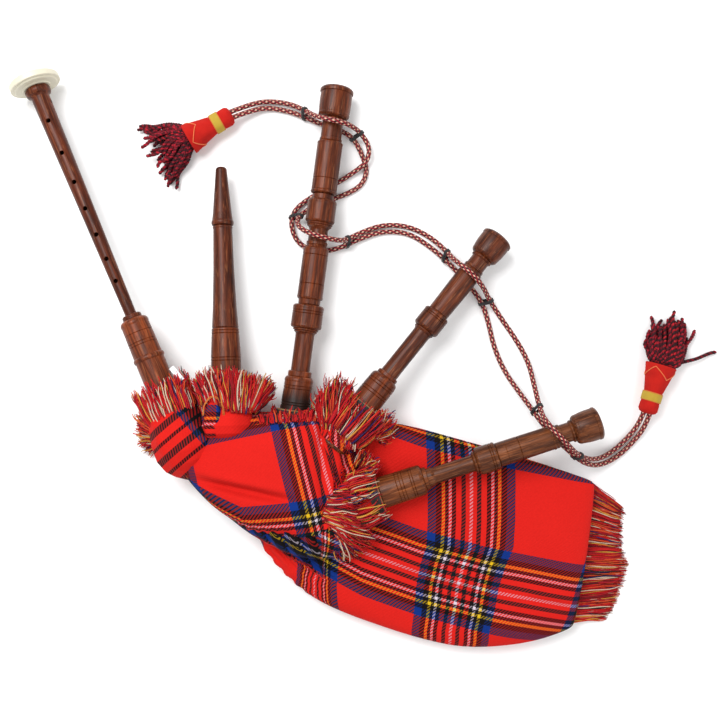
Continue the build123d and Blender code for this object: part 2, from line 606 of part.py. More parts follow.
def tassel(name, line, spread):
    """A felt head with a braid band and a skirt of yarn. spread is the skirt's outline, as
    (distance from the head's start, sideways) pairs."""
    pipe = Pipe(line)
    head = turned(
        [(0, 6.0), (1.2, 8.4, 4.0, TASSEL_CAP), (22, TASSEL_CAP), (30, 10.6),
         (TASSEL_HEAD_LENGTH, TASSEL_CONE)],
        [(0, 0), (TASSEL_HEAD_LENGTH, 0)],
    )
    export(f"{name}_tassel_head", pipe.place(head))
    export(f"{name}_tassel_band", pipe.place(ring(*TASSEL_BAND, TASSEL_CAP + 0.1, TASSEL_CAP + 0.9)))
    flow = Vector(pipe.axis.X, pipe.axis.Y, 0).normalized()
    side = Vector(-flow.Y, flow.X, 0)
    outline = [pipe.start + flow * s + side * w for s, w in spread]
    skirt = pillow([(p.X, p.Y) for p in outline], [(GROUND_CLEARANCE, 4), (6, 0), (14, 2), (24, 8)])
    export(f"{name}_tassel_skirt", skirt)


tassel(
    "left", LEFT_TASSEL_LINE,
    [(50, -13), (50, 13), (68, 30), (92, 33), (101, 8), (97, -19), (74, -26)],
)
tassel(
    "right", RIGHT_TASSEL_LINE,
    [(50, -14), (50, 13), (70, 17), (100, 14), (103, -8), (92, -34), (70, -30)],
)
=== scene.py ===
"""The look of a small set of bagpipes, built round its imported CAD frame.
Every object is in metres. Where a table or a name says mm, its numbers are millimetres."""

from math import cos, hypot, pi, radians, sin

import bpy
import numpy as np
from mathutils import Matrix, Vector
from mathutils.bvhtree import BVHTree
from numpy.linalg import norm


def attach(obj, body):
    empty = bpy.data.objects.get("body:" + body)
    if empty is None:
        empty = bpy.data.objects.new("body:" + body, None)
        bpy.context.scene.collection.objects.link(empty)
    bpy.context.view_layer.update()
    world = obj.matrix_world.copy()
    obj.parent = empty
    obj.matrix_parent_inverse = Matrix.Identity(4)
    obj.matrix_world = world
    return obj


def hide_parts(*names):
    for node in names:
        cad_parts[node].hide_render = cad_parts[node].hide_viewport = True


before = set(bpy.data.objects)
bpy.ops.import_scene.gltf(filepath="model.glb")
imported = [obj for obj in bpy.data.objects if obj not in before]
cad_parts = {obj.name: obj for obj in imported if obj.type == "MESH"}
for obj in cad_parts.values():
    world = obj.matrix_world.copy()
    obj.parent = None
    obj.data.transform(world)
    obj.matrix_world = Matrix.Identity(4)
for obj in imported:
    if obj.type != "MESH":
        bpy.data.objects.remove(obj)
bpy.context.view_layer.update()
scene = bpy.context.scene
MM = 0.001
rng = np.random.default_rng(11)

# --- Camera, floor and light ---
CAMERA_AT = (0.0425, -0.0025, 1.008)
WORLD_LIGHT = 0.72


def link(obj):
    scene.collection.objects.link(obj)
    return obj


def add_area(name, at, target, size, watts):
    data = bpy.data.lights.new(name, "AREA")
    data.size, data.energy = size, watts
    lamp = link(bpy.data.objects.new(name, data))
    lamp.location = at
    lamp.rotation_euler = (Vector(target) - Vector(at)).to_track_quat("-Z", "Y").to_euler()


lens = bpy.data.cameras.new("camera")
lens.lens, lens.sensor_width = 50, 36
scene.camera = link(bpy.data.objects.new("camera", lens))
scene.camera.location = CAMERA_AT

# --- Meshes and materials: small helpers ---


def add_mesh(name, points, faces, smooth=True, weave=None, tint=None):
    """A mesh object from points in metres. weave is a coordinate per point, in millimetres of
    cloth, and tint a colour per point."""
    mesh = bpy.data.meshes.new(name)
    mesh.from_pydata(np.asarray(points, float).tolist(), [], faces)
    mesh.validate()
    kinds = ("weave", "FLOAT_VECTOR", "vector", weave), ("tint", "FLOAT_COLOR", "color", tint)
    for key, kind, field, values in kinds:
        if values is not None:
            layer = mesh.attributes.new(key, kind, "POINT")
            layer.data.foreach_set(field, np.asarray(values, np.float32).ravel())
    mesh.polygons.foreach_set("use_smooth", [smooth] * len(mesh.polygons))
    return link(bpy.data.objects.new(name, mesh))


def ring_faces(rows, sides, turned=False, capped=False):
    """Faces between neighbouring rings of points; turned is for rings that run the other way."""
    faces = []
    for i in range(rows - 1):
        a, b = i * sides, (i + 1) * sides
        for j in range(sides):
            k = (j + 1) % sides
            faces.append((a + j, b + j, b + k, a + k) if turned else (a + j, a + k, b + k, b + j))
    if capped:
        way = 1 if turned else -1
        faces.append(tuple(range(sides))[::way])
        faces.append(tuple(range((rows - 1) * sides, rows * sides))[::-way])
    return faces


def ring_weave(around, along):
    """Weave coordinates for rings: a place around for each side, and one along for each ring."""
    weave = np.zeros((len(along), len(around), 3))
    weave[..., 0], weave[..., 1] = around[None], along[:, None]
    return weave.reshape(-1, 3)


def grey(value):
    return (value, value, value, 1)


def colour(r, g, b):
    """A colour given as seen on a screen, 0 to 255, in the linear values that shaders take."""
    out = []
    for c in (r, g, b):
        c /= 255
        out.append(c / 12.92 if c <= 0.04045 else ((c + 0.055) / 1.055) ** 2.4)
    return (*out, 1.0)


class Shader:
    """A material under construction. node() adds a node, sets its properties and inputs, and
    gives back its first output."""

    def __init__(self, name):
        self.material = bpy.data.materials.new(name)
        self.material.use_nodes = True
        self.tree = self.material.node_tree
        self.tree.nodes.clear()

    def node(self, kind, *inputs, out=0, named=None, **properties):
        made = self.tree.nodes.new("ShaderNode" + kind)
        for key, value in properties.items():
            setattr(made, key, value)
        for key, value in {**dict(enumerate(inputs)), **(named or {})}.items():
            if isinstance(value, bpy.types.NodeSocket):
                self.tree.links.new(value, made.inputs[key])
            else:
                made.inputs[key].default_value = value
        return made.outputs[out] if len(made.outputs) else None

    def math(self, operation, *inputs):
        return self.node("Math", *inputs, operation=operation)

    def ramp(self, factor, stops, steps=False):
        """A colour ramp: stops are (place, colour)."""
        made = self.node("ValToRGB", factor)
        ramp = made.node.color_ramp
        ramp.interpolation = "CONSTANT" if steps else "LINEAR"
        for index, (place, value) in enumerate(stops):
            element = ramp.elements[index] if index < 2 else ramp.elements.new(place)
            element.position, element.color = place, value
        return made

    def mix(self, factor, a, b, blend="MIX"):
        named = {0: factor, 6: a, 7: b}
        return self.node("Mix", out=2, named=named, data_type="RGBA", blend_type=blend)

    def times(self, a, b):
        return self.math("MULTIPLY", a, b)

    def fold(self, value, at=0.5):
        """value, running up to at and back to 0, over and over."""
        return self.math("PINGPONG", value, at)

    def mask(self, factor, low, high):
        return self.ramp(factor, [(low, grey(0)), (high, grey(1))])

    def shaded(self, base, factor, low, clear):
        """base with painted shade: darkened to low where factor is 0, and untouched where it is
        clear or more.
        """
        shade = self.ramp(factor, [(0, grey(low)), (clear, grey(1))])
        return self.mix(1.0, base, shade, blend="MULTIPLY")

    def cover(self, base, factor, amount, shade, blend="MIX"):
        """base with a shade over it, by factor times amount."""
        return self.mix(self.times(factor, amount), base, shade, blend)

    def place(self):
        return self.node("TexCoord", out=3)

    def weave(self):
        """The three components of the mesh's weave coordinate."""
        at = self.node("Attribute", attribute_name="weave", out=1)
        return self.node("SeparateXYZ", at).node.outputs[:]

    def along(self, pipe, way):
        """How far a point is from a pipe's outer end, in metres along one of its directions."""
        moved = self.node("VectorMath", self.place(), tuple(pipe.start * MM), operation="SUBTRACT")
        return self.node("VectorMath", moved, tuple(way), operation="DOT_PRODUCT", out=1)

    def noise(self, vector, scale, detail, roughness, **more):
        named = {"Scale": scale, "Detail": detail, "Roughness": roughness, **more}
        return self.node("TexNoise", vector, named=named)

    def finish(self, base, roughness, height, depth=0.0003, strength=0.6, specular=0.5, **more):
        """Ends the material in a Principled shader, with height as bump."""
        bump = {"Strength": strength, "Distance": depth, "Height": height}
        named = {
            "Base Color": base, "Roughness": roughness, "Specular IOR Level": specular,
            "Normal": self.node("Bump", named=bump), **more,
        }
        self.node("OutputMaterial", self.node("BsdfPrincipled", named=named))
        return self.material


def wear(obj, material, sharp=None):
    """Gives an object one material in place of any it has, and smooth shading with the edges
    over an angle in degrees kept sharp."""
    mesh = obj.data
    mesh.materials.clear()
    mesh.materials.append(material)
    if sharp:
        mesh.polygons.foreach_set("use_smooth", [True] * len(mesh.polygons))
        mesh.set_sharp_from_angle(angle=radians(sharp))


def dress(obj, material, slot, *nodes):
    """Finishes a piece of the bag's body, which stands for any CAD nodes that are named."""
    wear(obj, material)
    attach(obj, "bag")
    if nodes:
        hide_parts(*nodes)
    return obj


def unit(v):
    v = np.asarray(v, float)
    return v / norm(v)


class Pipe:
    """A pipe's axis: from its outer end towards the bag, as in the CAD."""

    def __init__(self, start, inner):
        self.start = np.array(start, float)
        self.axis = unit(np.array(inner, float) - self.start)
        self.up = unit(np.array([0, 0, 1.0]) - self.axis * self.axis[2])
        self.side = np.cross(self.axis, self.up)

    def point(self, distance, radius=0.0, angle=0.0):
        """A point in mm: angle is from the top, towards the pipe's side."""
        out = self.up * cos(angle) + self.side * sin(angle)
        return self.start + self.axis * distance + out * radius


PIPES = {
    "chanter": Pipe((-277.7, 270.7, 26.0), (-155.3, -16.9, 38.0)),
    "blowpipe": Pipe((-96.5, 189.1, 20.0), (-89.7, -11.2, 32.0)),
    "bass": Pipe((17.5, 267.0, 20.0), (-24.0, -51.8, 28.0)),
    "tenor_1": Pipe((175.5, 120.8, 22.0), (46.9, -38.9, 38.0)),
    "tenor_2": Pipe((267.3, -58.5, 52.0), (46.3, -131.2, 43.0)),
}

# --- Drone cord: two braided strands, tied together either side of every drone ---
STRAND_A = [
    (-89.4, 244.2, 15), (-70.5, 253.5, 9), (-52, 258.5, 4), (-30, 255.5, 4.5),
    (-14.5, 247, 11.5), (-5.5, 238.5, 26), (6.5, 232.5, 39), (22.5, 229.5, 38),
    (33, 227.5, 26), (40.5, 224, 14), (49.3, 211.5, 9.5), (47, 197, 9.5),
    (35.5, 188.5, 5), (19.5, 178.5, 2.6), (1.5, 168.5, 2.6), (-14.5, 159.5, 3),
    (-26.5, 148.5, 5.5), (-29.5, 134, 5.5), (-23.5, 118, 2.6), (-9, 109.5, 2.6),
    (7.5, 109, 2.6), (22.5, 113, 5), (37.5, 120.5, 5), (61.5, 129, 2.6),
    (87.5, 127.5, 2.6), (109.5, 113.5, 2.6), (129, 96, 5.4), (146, 77, 4.2),
    (160, 60, 5), (167.5, 38.5, 2.6), (172.5, 14.5, 2.6), (183, -10.5, 3.5),
    (197, -32.5, 16), (206, -47, 31), (215.5, -61.5, 36.5), (230.5, -77.5, 34.5),
    (244, -90, 35), (259, -101, 25.5), (277, -104, 10.5), (295.5, -96.5, 3),
    (310.5, -82.5, 3), (322, -66.5, 8), (325.1, -51.6, 15),
]
STRAND_B = [
    (-86.4, 239, 15), (-70.5, 247, 9), (-52, 252, 4), (-30, 248, 3.5),
    (-13, 241, 5.5), (2.5, 235, 3), (18.5, 230, 3), (31.5, 222, 7),
    (37.5, 213, 6), (42.5, 202.5, 2.6), (47, 188.5, 2.6), (41, 174, 2.6),
    (24.5, 165, 2.6), (3.5, 158, 2.6), (-11.5, 150.5, 5), (-21.5, 141.5, 14),
    (-21.5, 131, 30), (-10, 122, 43), (6, 117.5, 43), (19, 116, 31),
    (26.5, 119, 14), (41, 127.5, 5), (62.5, 135.5, 2.6), (88.5, 134, 2.6),
    (111.5, 122, 2.6), (125.5, 107.5, 10), (130.5, 99, 25.5), (137.5, 91, 39.5),
    (150.5, 80, 41), (159.5, 70.5, 30), (167, 60.5, 11.5), (179, 43.5, 3),
    (194, 22.5, 2.6), (207, -0.5, 3.5), (211, -24, 15), (212.5, -40.5, 30),
    (213, -49.5, 44), (213.5, -55, 57), (219, -64, 69.5), (230.5, -75.5, 69),
    (241, -85, 54), (251, -92, 38.5), (264.5, -97, 23.5), (279, -96.5, 9.5),
    (293.5, -89, 3), (306.5, -76.5, 3.5), (316, -63, 8), (319.4, -49.9, 15),
]
TIE_PLACES = [
    (-14, 244, 8.5), (36.5, 223.5, 12), (-25, 141, 9.5), (24.5, 116, 9.5),
    (126, 103, 8), (164, 59.5, 8), (210, -48, 34), (248, -91.5, 37),
]
CORD_DIAMETER = 5.0
BRAID_CELL = 7.2  # mm along the cord for one carrier to cross another
BRAID_CARRIERS = 8
BRAID_STEP = 0.9  # mm between the tube's rings


def route_line(name, route):
    """The smooth line of a route, as points read from its NURBS spline, in metres."""
    data = bpy.data.curves.new(name + "_route", "CURVE")
    data.dimensions, data.resolution_u = "3D", 16
    spline = data.splines.new("NURBS")
    spline.points.add(len(route) - 1)
    for point, place in zip(spline.points, route):
        point.co = (*(c * MM for c in place), 1)
    spline.order_u = 3
    spline.use_endpoint_u = True
    source = bpy.data.objects.new(name + "_route", data)
    mesh = bpy.data.meshes.new_from_object(source)
    points = np.array([v.co[:] for v in mesh.vertices])
    bpy.data.objects.remove(source)
    return points


def distances(points):
    """How far along a line each of its points is."""
    return np.concatenate([[0], np.cumsum(norm(np.diff(points, axis=0), axis=1))])


def sample(places, along, table):
    """A table's rows at places along it."""
    return np.stack([np.interp(places, along, column) for column in table.T], axis=-1)


def evenly(points, step):
    """The same line with points the same distance apart."""
    along = distances(points)
    places = np.linspace(0, along[-1], max(2, int(round(along[-1] / step)) + 1))
    return sample(places, along, points), places


def carried_frames(points):
    """Two normals at each point of a line, carried along without twist."""
    tangents = np.gradient(points, axis=0)
    tangents /= norm(tangents, axis=1)[:, None]
    seed = np.array([0, 0, 1.0]) if abs(tangents[0][2]) < 0.9 else np.array([1.0, 0, 0])
    normals = [unit(seed - tangents[0] * seed.dot(tangents[0]))]
    for t in tangents[1:]:
        normals.append(unit(normals[-1] - t * normals[-1].dot(t)))
    normals = np.array(normals)
    return normals, np.cross(tangents, normals)


def tube(points, radius, sides):
    """Points and faces of a closed tube. radius is a number, one per point, or one per point
    and side."""
    normals, others = carried_frames(points)
    angles = np.arange(sides) * 2 * pi / sides
    radius = np.asarray(radius, float)
    if radius.ndim < 2:
        radius = np.broadcast_to(radius.reshape(-1, 1), (len(points), sides))
    out = normals[:, None] * np.cos(angles)[None, :, None]
    out = out + others[:, None] * np.sin(angles)[None, :, None]
    made = points[:, None] + out * radius[..., None]
    return made.reshape(-1, 3), ring_faces(len(points), sides, capped=True)


def braid_material():
    s = Shader("braided_cord")
    turn, along, _ = s.weave()
    right, left = s.math("ADD", turn, along), s.math("SUBTRACT", turn, along)
    over = s.math("ADD", s.math("FLOOR", right), s.math("FLOOR", left))
    over = s.math("GREATER_THAN", s.math("FRACT", s.times(over, 0.5)), 0.25)
    red, white, black = colour(138, 10, 30), colour(226, 176, 152), colour(26, 8, 16)
    pick = [
        s.ramp(
            s.math("FRACT", s.math("DIVIDE", s.math("FLOOR", strand), BRAID_CARRIERS)),
            [(0, red), (0.12, first), (0.24, red), (0.37, first), (0.49, red), (0.62, first),
             (0.74, red), (0.86, second)],
            steps=True,
        )
        for strand, first, second in ((right, white, white), (left, black, black))
    ]
    base = s.mix(over, *pick)
    height = s.times(s.fold(right), s.fold(left))
    # painted shade: the colour darkens in the grooves between the carriers
    base = s.shaded(base, height, 0.35, 0.1)
    return s.finish(base, 0.6, height, depth=0.0006, specular=0.3)


def add_strand(key, route):
    """One braided strand, swelling where a carrier lies on top."""
    line, along = evenly(route_line("strand_" + key, route), BRAID_STEP * MM)
    sides = 20
    turn = np.arange(sides) / sides * BRAID_CARRIERS
    run = along / (BRAID_CELL * MM) * 2
    right, left = turn[None] + run[:, None], turn[None] - run[:, None]
    swell = np.abs(np.sin(pi * right) * np.sin(pi * left))
    radius = CORD_DIAMETER / 2 * MM * (0.93 + 0.09 * swell)
    points, faces = tube(line, radius, sides)
    strand = add_mesh(f"cord_braid_{key}", points, faces, weave=ring_weave(turn, run))
    return dress(strand, BRAID, "cord", f"cord_strand_{key}"), line


BRAID = braid_material()
strand_a, line_a = add_strand("a", STRAND_A)
strand_b, line_b = add_strand("b", STRAND_B)


def thread_material(name, shown):
    """Twisted thread of one colour."""
    s = Shader(name)
    fibre = s.noise(s.place(), 900, 4, 0.7)
    base = s.cover(shown, fibre, 0.6, tuple(c * 0.45 for c in shown[:3]) + (1,))
    return s.finish(base, 0.7, fibre, depth=0.0002, **{"Sheen Weight": 0.15})


def around_strands(first, second, run, reach, steps):
    """A closed loop round two strands, as a slot: points in metres."""
    apart = first - second
    apart = apart - run * apart.dot(run)
    half = norm(apart) / 2
    across = apart / (2 * half)
    third = np.cross(run, across)
    loop = []
    for i in range(steps):
        angle = 2 * pi * i / steps
        out = half * max(-1.0, min(1.0, 2.5 * cos(angle))) + reach * cos(angle)
        loop.append((first + second) / 2 + across * out + third * reach * sin(angle))
    return np.array(loop)


def add_ties():
    """Black thread wound round both strands, with a knot and two cut ends."""
    turns, steps, thick = 4, 28, 0.55 * MM
    reach, width, rise = 3.1 * MM, 3.2 * MM, 3.4 * MM
    points, faces = [], []

    def add(line, radius, sides=8):
        made, found = tube(np.array(line), radius, sides)
        base = sum(len(p) for p in points)
        points.append(made)
        faces.extend(tuple(base + i for i in face) for face in found)

    for place in TIE_PLACES:
        here = np.array(place) * MM
        i = int(np.argmin(norm(line_a - here, axis=1)))
        j = int(np.argmin(norm(line_b - here, axis=1)))
        a, b = line_a[i], line_b[j]
        run = line_a[min(i + 3, len(line_a) - 1)] - line_a[i - 3]
        other = line_b[min(j + 3, len(line_b) - 1)] - line_b[j - 3]
        run = unit(unit(run) + unit(other))
        loop = around_strands(a, b, run, reach, steps)
        wound = [
            loop[k % steps] + run * (k / steps / turns - 0.5) * width
            for k in range(turns * steps + 1)
        ]
        add(wound, thick)
        across = unit(a - b)
        lift = np.cross(run, across)
        lift = lift * (1 if lift[2] > 0 else -1)
        knot = (a + b) / 2 + lift * rise
        coil = [
            knot + across * 1.1 * MM * cos(t) + run * 0.9 * MM * sin(t) + lift * 0.25 * MM * t / pi
            for t in np.linspace(0, 4 * pi, 22)
        ]
        add(coil, thick)
        for sign in (-1, 1):
            end = [
                knot + across * sign * x * MM + lift * (0.6 + 0.5 * sin(x)) * MM
                + run * x * 0.25 * MM
                for x in np.linspace(0, 4.2, 7)
            ]
            add(end, 0.45 * MM, 6)
    ties = add_mesh("cord_tie_threads", np.concatenate(points), faces)
    return dress(ties, thread_material("tie_thread", colour(22, 18, 20)), "cord_tie", "cord_ties")


ties = add_ties()


# --- Yarns: fringes and tassel skirts are many separate strands ---
class Yarns:
    """Many thin tubes gathered into one mesh, each with its own colour."""

    def __init__(self):
        self.points, self.faces, self.tints, self.weaves, self.count = [], [], [], [], 0

    def add(self, line, radius, tint, sides=5, taper=0.75, lowest=0.8):
        """A strand along a line in mm, whose middle stays at lowest or above. Its radius falls
        towards the tip, to taper times it."""
        line = np.array(line, float)
        line[:, 2] = np.maximum(line[:, 2], lowest)
        line *= MM
        thin = radius * MM * np.linspace(1, taper, len(line))
        thin[-1] *= 0.6
        made, found = tube(line, thin, sides)
        self.points.append(made)
        self.faces.extend(tuple(self.count + i for i in face) for face in found)
        self.tints.append(np.tile(np.array(tint), (len(made), 1)))
        self.weaves.append(ring_weave(np.arange(sides) / sides, distances(line) / MM))
        self.count += len(made)

    def finish(self, name, material, slot, *nodes):
        obj = add_mesh(
            name, np.concatenate(self.points), self.faces,
            weave=np.concatenate(self.weaves), tint=np.concatenate(self.tints),
        )
        dress(obj, material, slot, *nodes)


def yarn_material(name, pitch, dark, rough=0.85, mottle=0.0):
    """Two-ply yarn in each strand's own tint: dark is how dark the shade painted into the line
    between plies is, and mottle how much of it dark fibres cover."""
    s = Shader(name)
    tint = s.node("Attribute", attribute_name="tint")
    turn, along, _ = s.weave()
    ply = s.fold(s.math("ADD", s.times(turn, 2.0), s.math("DIVIDE", along, pitch)))
    fibre = s.noise(s.place(), 1400, 3, 0.7)
    height = s.math("ADD", s.times(ply, 2.0), s.times(fibre, 0.3))
    # painted shade in the groove between the two plies
    base = s.shaded(tint, ply, dark, 0.28)
    base = s.cover(base, fibre, 0.35, (0.1, 0.02, 0.02, 1))
    patches = s.mask(s.noise(s.place(), 430, 3, 0.7), 0.45, 0.54)
    base = s.cover(base, patches, mottle, (0.02, 0.004, 0.006, 1))
    return s.finish(base, rough, height, depth=0.0003, specular=0.2)


FRINGE_YARN = yarn_material("fringe_yarn", 1.6, 0.45)
PALETTE = [
    (colour(212, 22, 26), 0.34), (colour(190, 26, 40), 0.19), (colour(226, 84, 38), 0.11),
    (colour(224, 160, 62), 0.08), (colour(230, 202, 176), 0.10), (colour(132, 14, 26), 0.09),
    (colour(28, 34, 96), 0.05), (colour(44, 26, 24), 0.05),
]
TINTS = [tint for tint, _ in PALETTE]
ODDS = np.array([odds for _, odds in PALETTE])
ODDS = ODDS / ODDS.sum()
# The bass drone's hem shows fewer pale threads.
HEM_ODDS = np.array([0.42, 0.24, 0.08, 0.01, 0.01, 0.14, 0.04, 0.06])


def bent(start, leaving, end, arriving, waves, points=8):
    """A strand's line in mm: a curve with given end directions, and a slight crimp."""
    start, end = np.asarray(start, float), np.asarray(end, float)
    length = norm(end - start)
    a = start + np.asarray(leaving) * length * 0.38
    b = end - np.asarray(arriving) * length * 0.3
    t = np.linspace(0, 1, points)[:, None]
    line = (1 - t) ** 3 * start + 3 * (1 - t) ** 2 * t * a + 3 * (1 - t) * t**2 * b + t**3 * end
    run = (end - start) / max(length, 1e-6)
    side = unit(np.cross(run, [0.1, 0.2, 1.0]))
    other = np.cross(run, side)
    phase = rng.uniform(0, 2 * pi, 2)
    sway = waves * np.sin(t * rng.uniform(4, 9) + phase[0]) * t
    lift = waves * np.sin(t * rng.uniform(4, 9) + phase[1]) * t
    return line + side * sway + other * lift * 0.6


def tuft_tint(odds):
    return TINTS[rng.choice(len(TINTS), p=odds)]


def add_fan(yarns, pairs, count, odds, waves=2.0, lift=5.0, spread=2.2, out=0.3):
    """Yarns between neighbouring pairs of a root and a tip in mm. lift is how far a yarn rises
    between its ends, spread how far tips stray, and out how far their ends turn."""
    pairs = np.array(pairs, float).reshape(-1, 2, 3)
    stops = norm(np.diff(pairs[:, 1], axis=0), axis=1) + 3
    along = np.concatenate([[0], np.cumsum(stops)])
    bunches = rng.uniform(0, along[-1], max(6, count // 9))
    rise = np.array([0, 0, lift / 14.0])
    for _ in range(count):
        place = rng.uniform(0, along[-1])
        near = bunches[np.argmin(np.abs(bunches - place))]
        tip_place = place + (near - place) * rng.uniform(0.1, 0.8)
        root, tip = sample(place, along, pairs[:, 0]), sample(tip_place, along, pairs[:, 1])
        deep = rng.uniform(0, 1)
        root[2] -= deep * 4
        tip[2] -= deep * 9
        root[:2] += rng.normal(0, 1.0, 2)
        tip = root + (tip - root) * rng.choice([rng.uniform(0.72, 0.92), rng.uniform(0.92, 1.05)])
        tip[:2] += rng.normal(0, spread, 2)
        root[2], tip[2] = max(root[2], 1.5), max(tip[2], 1.5)
        run = unit(tip - root)
        leaving = unit(run + rise + rng.normal(0, out * 0.4, 3))
        arriving = unit(run - rise + rng.normal(0, out, 3))
        line = bent(root, leaving, tip, arriving, waves * rng.uniform(0.2, 1.0), 10)
        yarns.add(line, rng.uniform(0.42, 0.74), tuft_tint(odds))


def add_ring(yarns, pipe, odds, hem, hem_radius, tip, tip_radius, count):
    """A layer of yarns lying right round a stock."""
    for _ in range(count):
        angle = rng.uniform(0, 2 * pi)
        root = pipe.point(hem + rng.uniform(-2, 2), hem_radius + rng.uniform(-1.5, 0.5), angle)
        swing = angle + rng.normal(0, 0.12)
        end = pipe.point(tip + rng.normal(0, 3.5), tip_radius * rng.uniform(0.9, 1.08), swing)
        root[2], end[2] = max(root[2], 2.0), max(end[2], 2.0)
        out = unit(pipe.point(0, 1, angle) - pipe.point(0))
        leaving = unit(-pipe.axis + out * 0.45)
        line = bent(root, leaving, end, unit(end - root), rng.uniform(0.3, 1.4))
        yarns.add(line, rng.uniform(0.5, 0.78), tuft_tint(odds))


# Each fringe's yarns: rows of a root and a tip.
FANS = {
    "chanter": [
        (-127, -45, 50, -125, -16, 54), (-131, -50, 56, -133, -18, 58),
        (-135, -54, 60, -142, -20, 60), (-140, -58, 61, -151, -22, 60),
        (-144, -62, 60, -161, -26, 56), (-149, -66, 56, -167, -37, 50),
        (-153, -69, 50, -173, -49, 38), (-155, -73, 42, -178, -61, 27),
        (-157, -76, 34, -178, -72, 18), (-157, -79, 26, -178, -83, 10),
        (-156, -82, 18, -171, -92, 5),
    ],
    "blowpipe": [
        (-111, -43, 45, -118, -27, 40), (-109, -42, 50, -117, -24, 46),
        (-107, -40, 56, -117, -18, 52), (-103, -39, 60, -113, -14, 57),
        (-97, -40, 62, -106, -10, 60), (-91, -43, 63, -99, -8, 61), (-85, -46, 63, -90, -8, 61),
        (-79, -48, 63, -81, -9, 61), (-75, -48, 62, -72, -11, 60), (-70, -48, 60, -66, -14, 58),
        (-66, -48, 57, -57, -14, 52), (-64, -48, 54, -49, -16, 46), (-61, -48, 50, -45, -22, 40),
        (-60, -49, 44, -45, -29, 32), (-61, -50, 36, -54, -36, 22),
    ],
    "bass": [
        (-60, -62, 48, -64, -55, 42), (-53, -61, 54, -57, -52, 49), (-46, -60, 56, -48, -50, 52),
        (-37, -59, 58, -40, -49, 54), (-28, -58, 58, -29, -51, 55), (-19, -57, 58, -20, -51, 54),
        (-14, -57, 56, -14, -48, 52), (-9, -57, 54, -7, -46, 50), (-4, -58, 50, -1, -48, 44),
        (1, -59, 46, 5, -52, 38),
    ],
    "tenor_1": [
        (-2, -54, 40, 1, -41, 44), (1, -60, 44, 2, -32, 50), (4, -65, 48, 8, -25, 54),
        (8, -70, 50, 16, -18, 56), (11, -73, 52, 24, -17, 58), (15, -75, 54, 33, -22, 58),
        (20, -79, 56, 31, -33, 61), (25, -82, 57, 34, -40, 62), (30, -83, 58, 38, -45, 62),
        (36, -82, 57, 44, -50, 60), (41, -79, 55, 50, -53, 58), (46, -77, 52, 57, -50, 52),
        (50, -75, 48, 65, -51, 46), (53, -74, 42, 70, -58, 40), (56, -75, 38, 72, -67, 33),
        (59, -77, 33, 66, -82, 29),
    ],
    "tenor_2": [
        (31, -108, 47, 58, -101, 52), (26, -114, 52, 46, -112, 56), (22, -119, 56, 45, -117, 61),
        (17, -124, 59, 43, -123, 64), (12, -129, 61, 42, -129, 66), (9, -134, 62, 41, -136, 66),
        (7, -140, 62, 41, -143, 65), (6, -145, 61, 41, -150, 62), (7, -150, 60, 43, -159, 58),
        (9, -153, 58, 51, -171, 48), (12, -156, 56, 41, -183, 40), (13, -157, 54, 32, -190, 37),
        (12, -156, 54, 20, -190, 38), (9, -154, 54, 9, -185, 42), (5, -152, 55, 2, -179, 46),
    ],
    "tenor_2_tuft": [
        (34, -100, 46, 38, -84, 52), (38, -101, 46, 45, -86, 54), (42, -103, 44, 51, -91, 52),
        (46, -106, 42, 60, -97, 50),
    ],
    "rear": [
        (267, -121, 9, 300, -146, 4), (265, -133, 9, 302, -152, 4), (262, -148, 9, 300, -162, 4),
        (260, -163, 9, 300, -173, 4), (259, -176, 9, 300, -183, 4), (258, -190, 9, 302, -192, 4),
        (257, -203, 9, 305, -204, 4), (255, -216, 9, 303, -215, 4), (253, -229, 9, 299, -226, 4),
        (250, -241, 9, 294, -239, 4), (248, -250, 9, 290, -249, 4), (246, -258, 9, 282, -259, 4),
    ],
}
# Each collar's ring: where its hem is along the pipe and its radius, the same for the tips, and
# a count. Then its fans: a name in FANS, a count and a style.
FRINGES = {
    "chanter": ((356, 23, 320, 27, 230), [("chanter", 820, {})]),
    "blowpipe": ((246, 23, 208, 28, 230), [("blowpipe", 980, {})]),
    "bass": ((338, 21, 320, 22, 150), [("bass", 320, dict(waves=0.8, lift=2.0, spread=1.0))]),
    "tenor_1": ((246, 24, 212, 30, 230), [("tenor_1", 1180, dict(waves=3.6, spread=3.0))]),
    "tenor_2": (
        (244, 27, 222, 24, 170),
        [("tenor_2", 1020, dict(waves=3.2, lift=4.0, spread=3.0)),
         ("tenor_2_tuft", 110, dict(waves=2.2))],
    ),
    "rear": (None, [("rear", 980, dict(waves=1.3, lift=0.6, spread=0.9, out=0.1))]),
}
for key, (ring, fans) in FRINGES.items():
    odds = HEM_ODDS if key == "bass" else ODDS
    yarns = Yarns()
    if ring:
        add_ring(yarns, PIPES[key], odds, *ring)
    for fan, count, style in fans:
        add_fan(yarns, FANS[fan], count, odds, **style)
    piece, node = ("_fringe", "_collar") if ring else ("_yarns", "_fringe")
    yarns.finish(key + piece, FRINGE_YARN, "fringe", key + node)

# --- Tassels ---
LEFT_TASSEL = Pipe((-86.6, 242.3, 15.0), (-130.7, 217.0, 16.0))
RIGHT_TASSEL = Pipe((321.8, -52.2, 15.0), (337.2, -1.5, 16.0))
HEAD_SIDES = 72
WOBBLE = 0.022
BAND_PROFILE = [(12.3, 9.2), (12.6, 9.9), (17, 10.1), (21.3, 10.0), (21.7, 9.3)]
HEAD_PROFILE = [
    (0, 1.5), (0.2, 5.0), (1.5, 8.0), (4, 9.5), (10, 9.4), (12, 9.0), (22, 9.0), (24, 9.6),
    (30, 10.9), (40, 13.2), (48.5, 15.2), (49.4, 14.9), (49.2, 14.2), (40, 12.0), (36, 3.0),
]


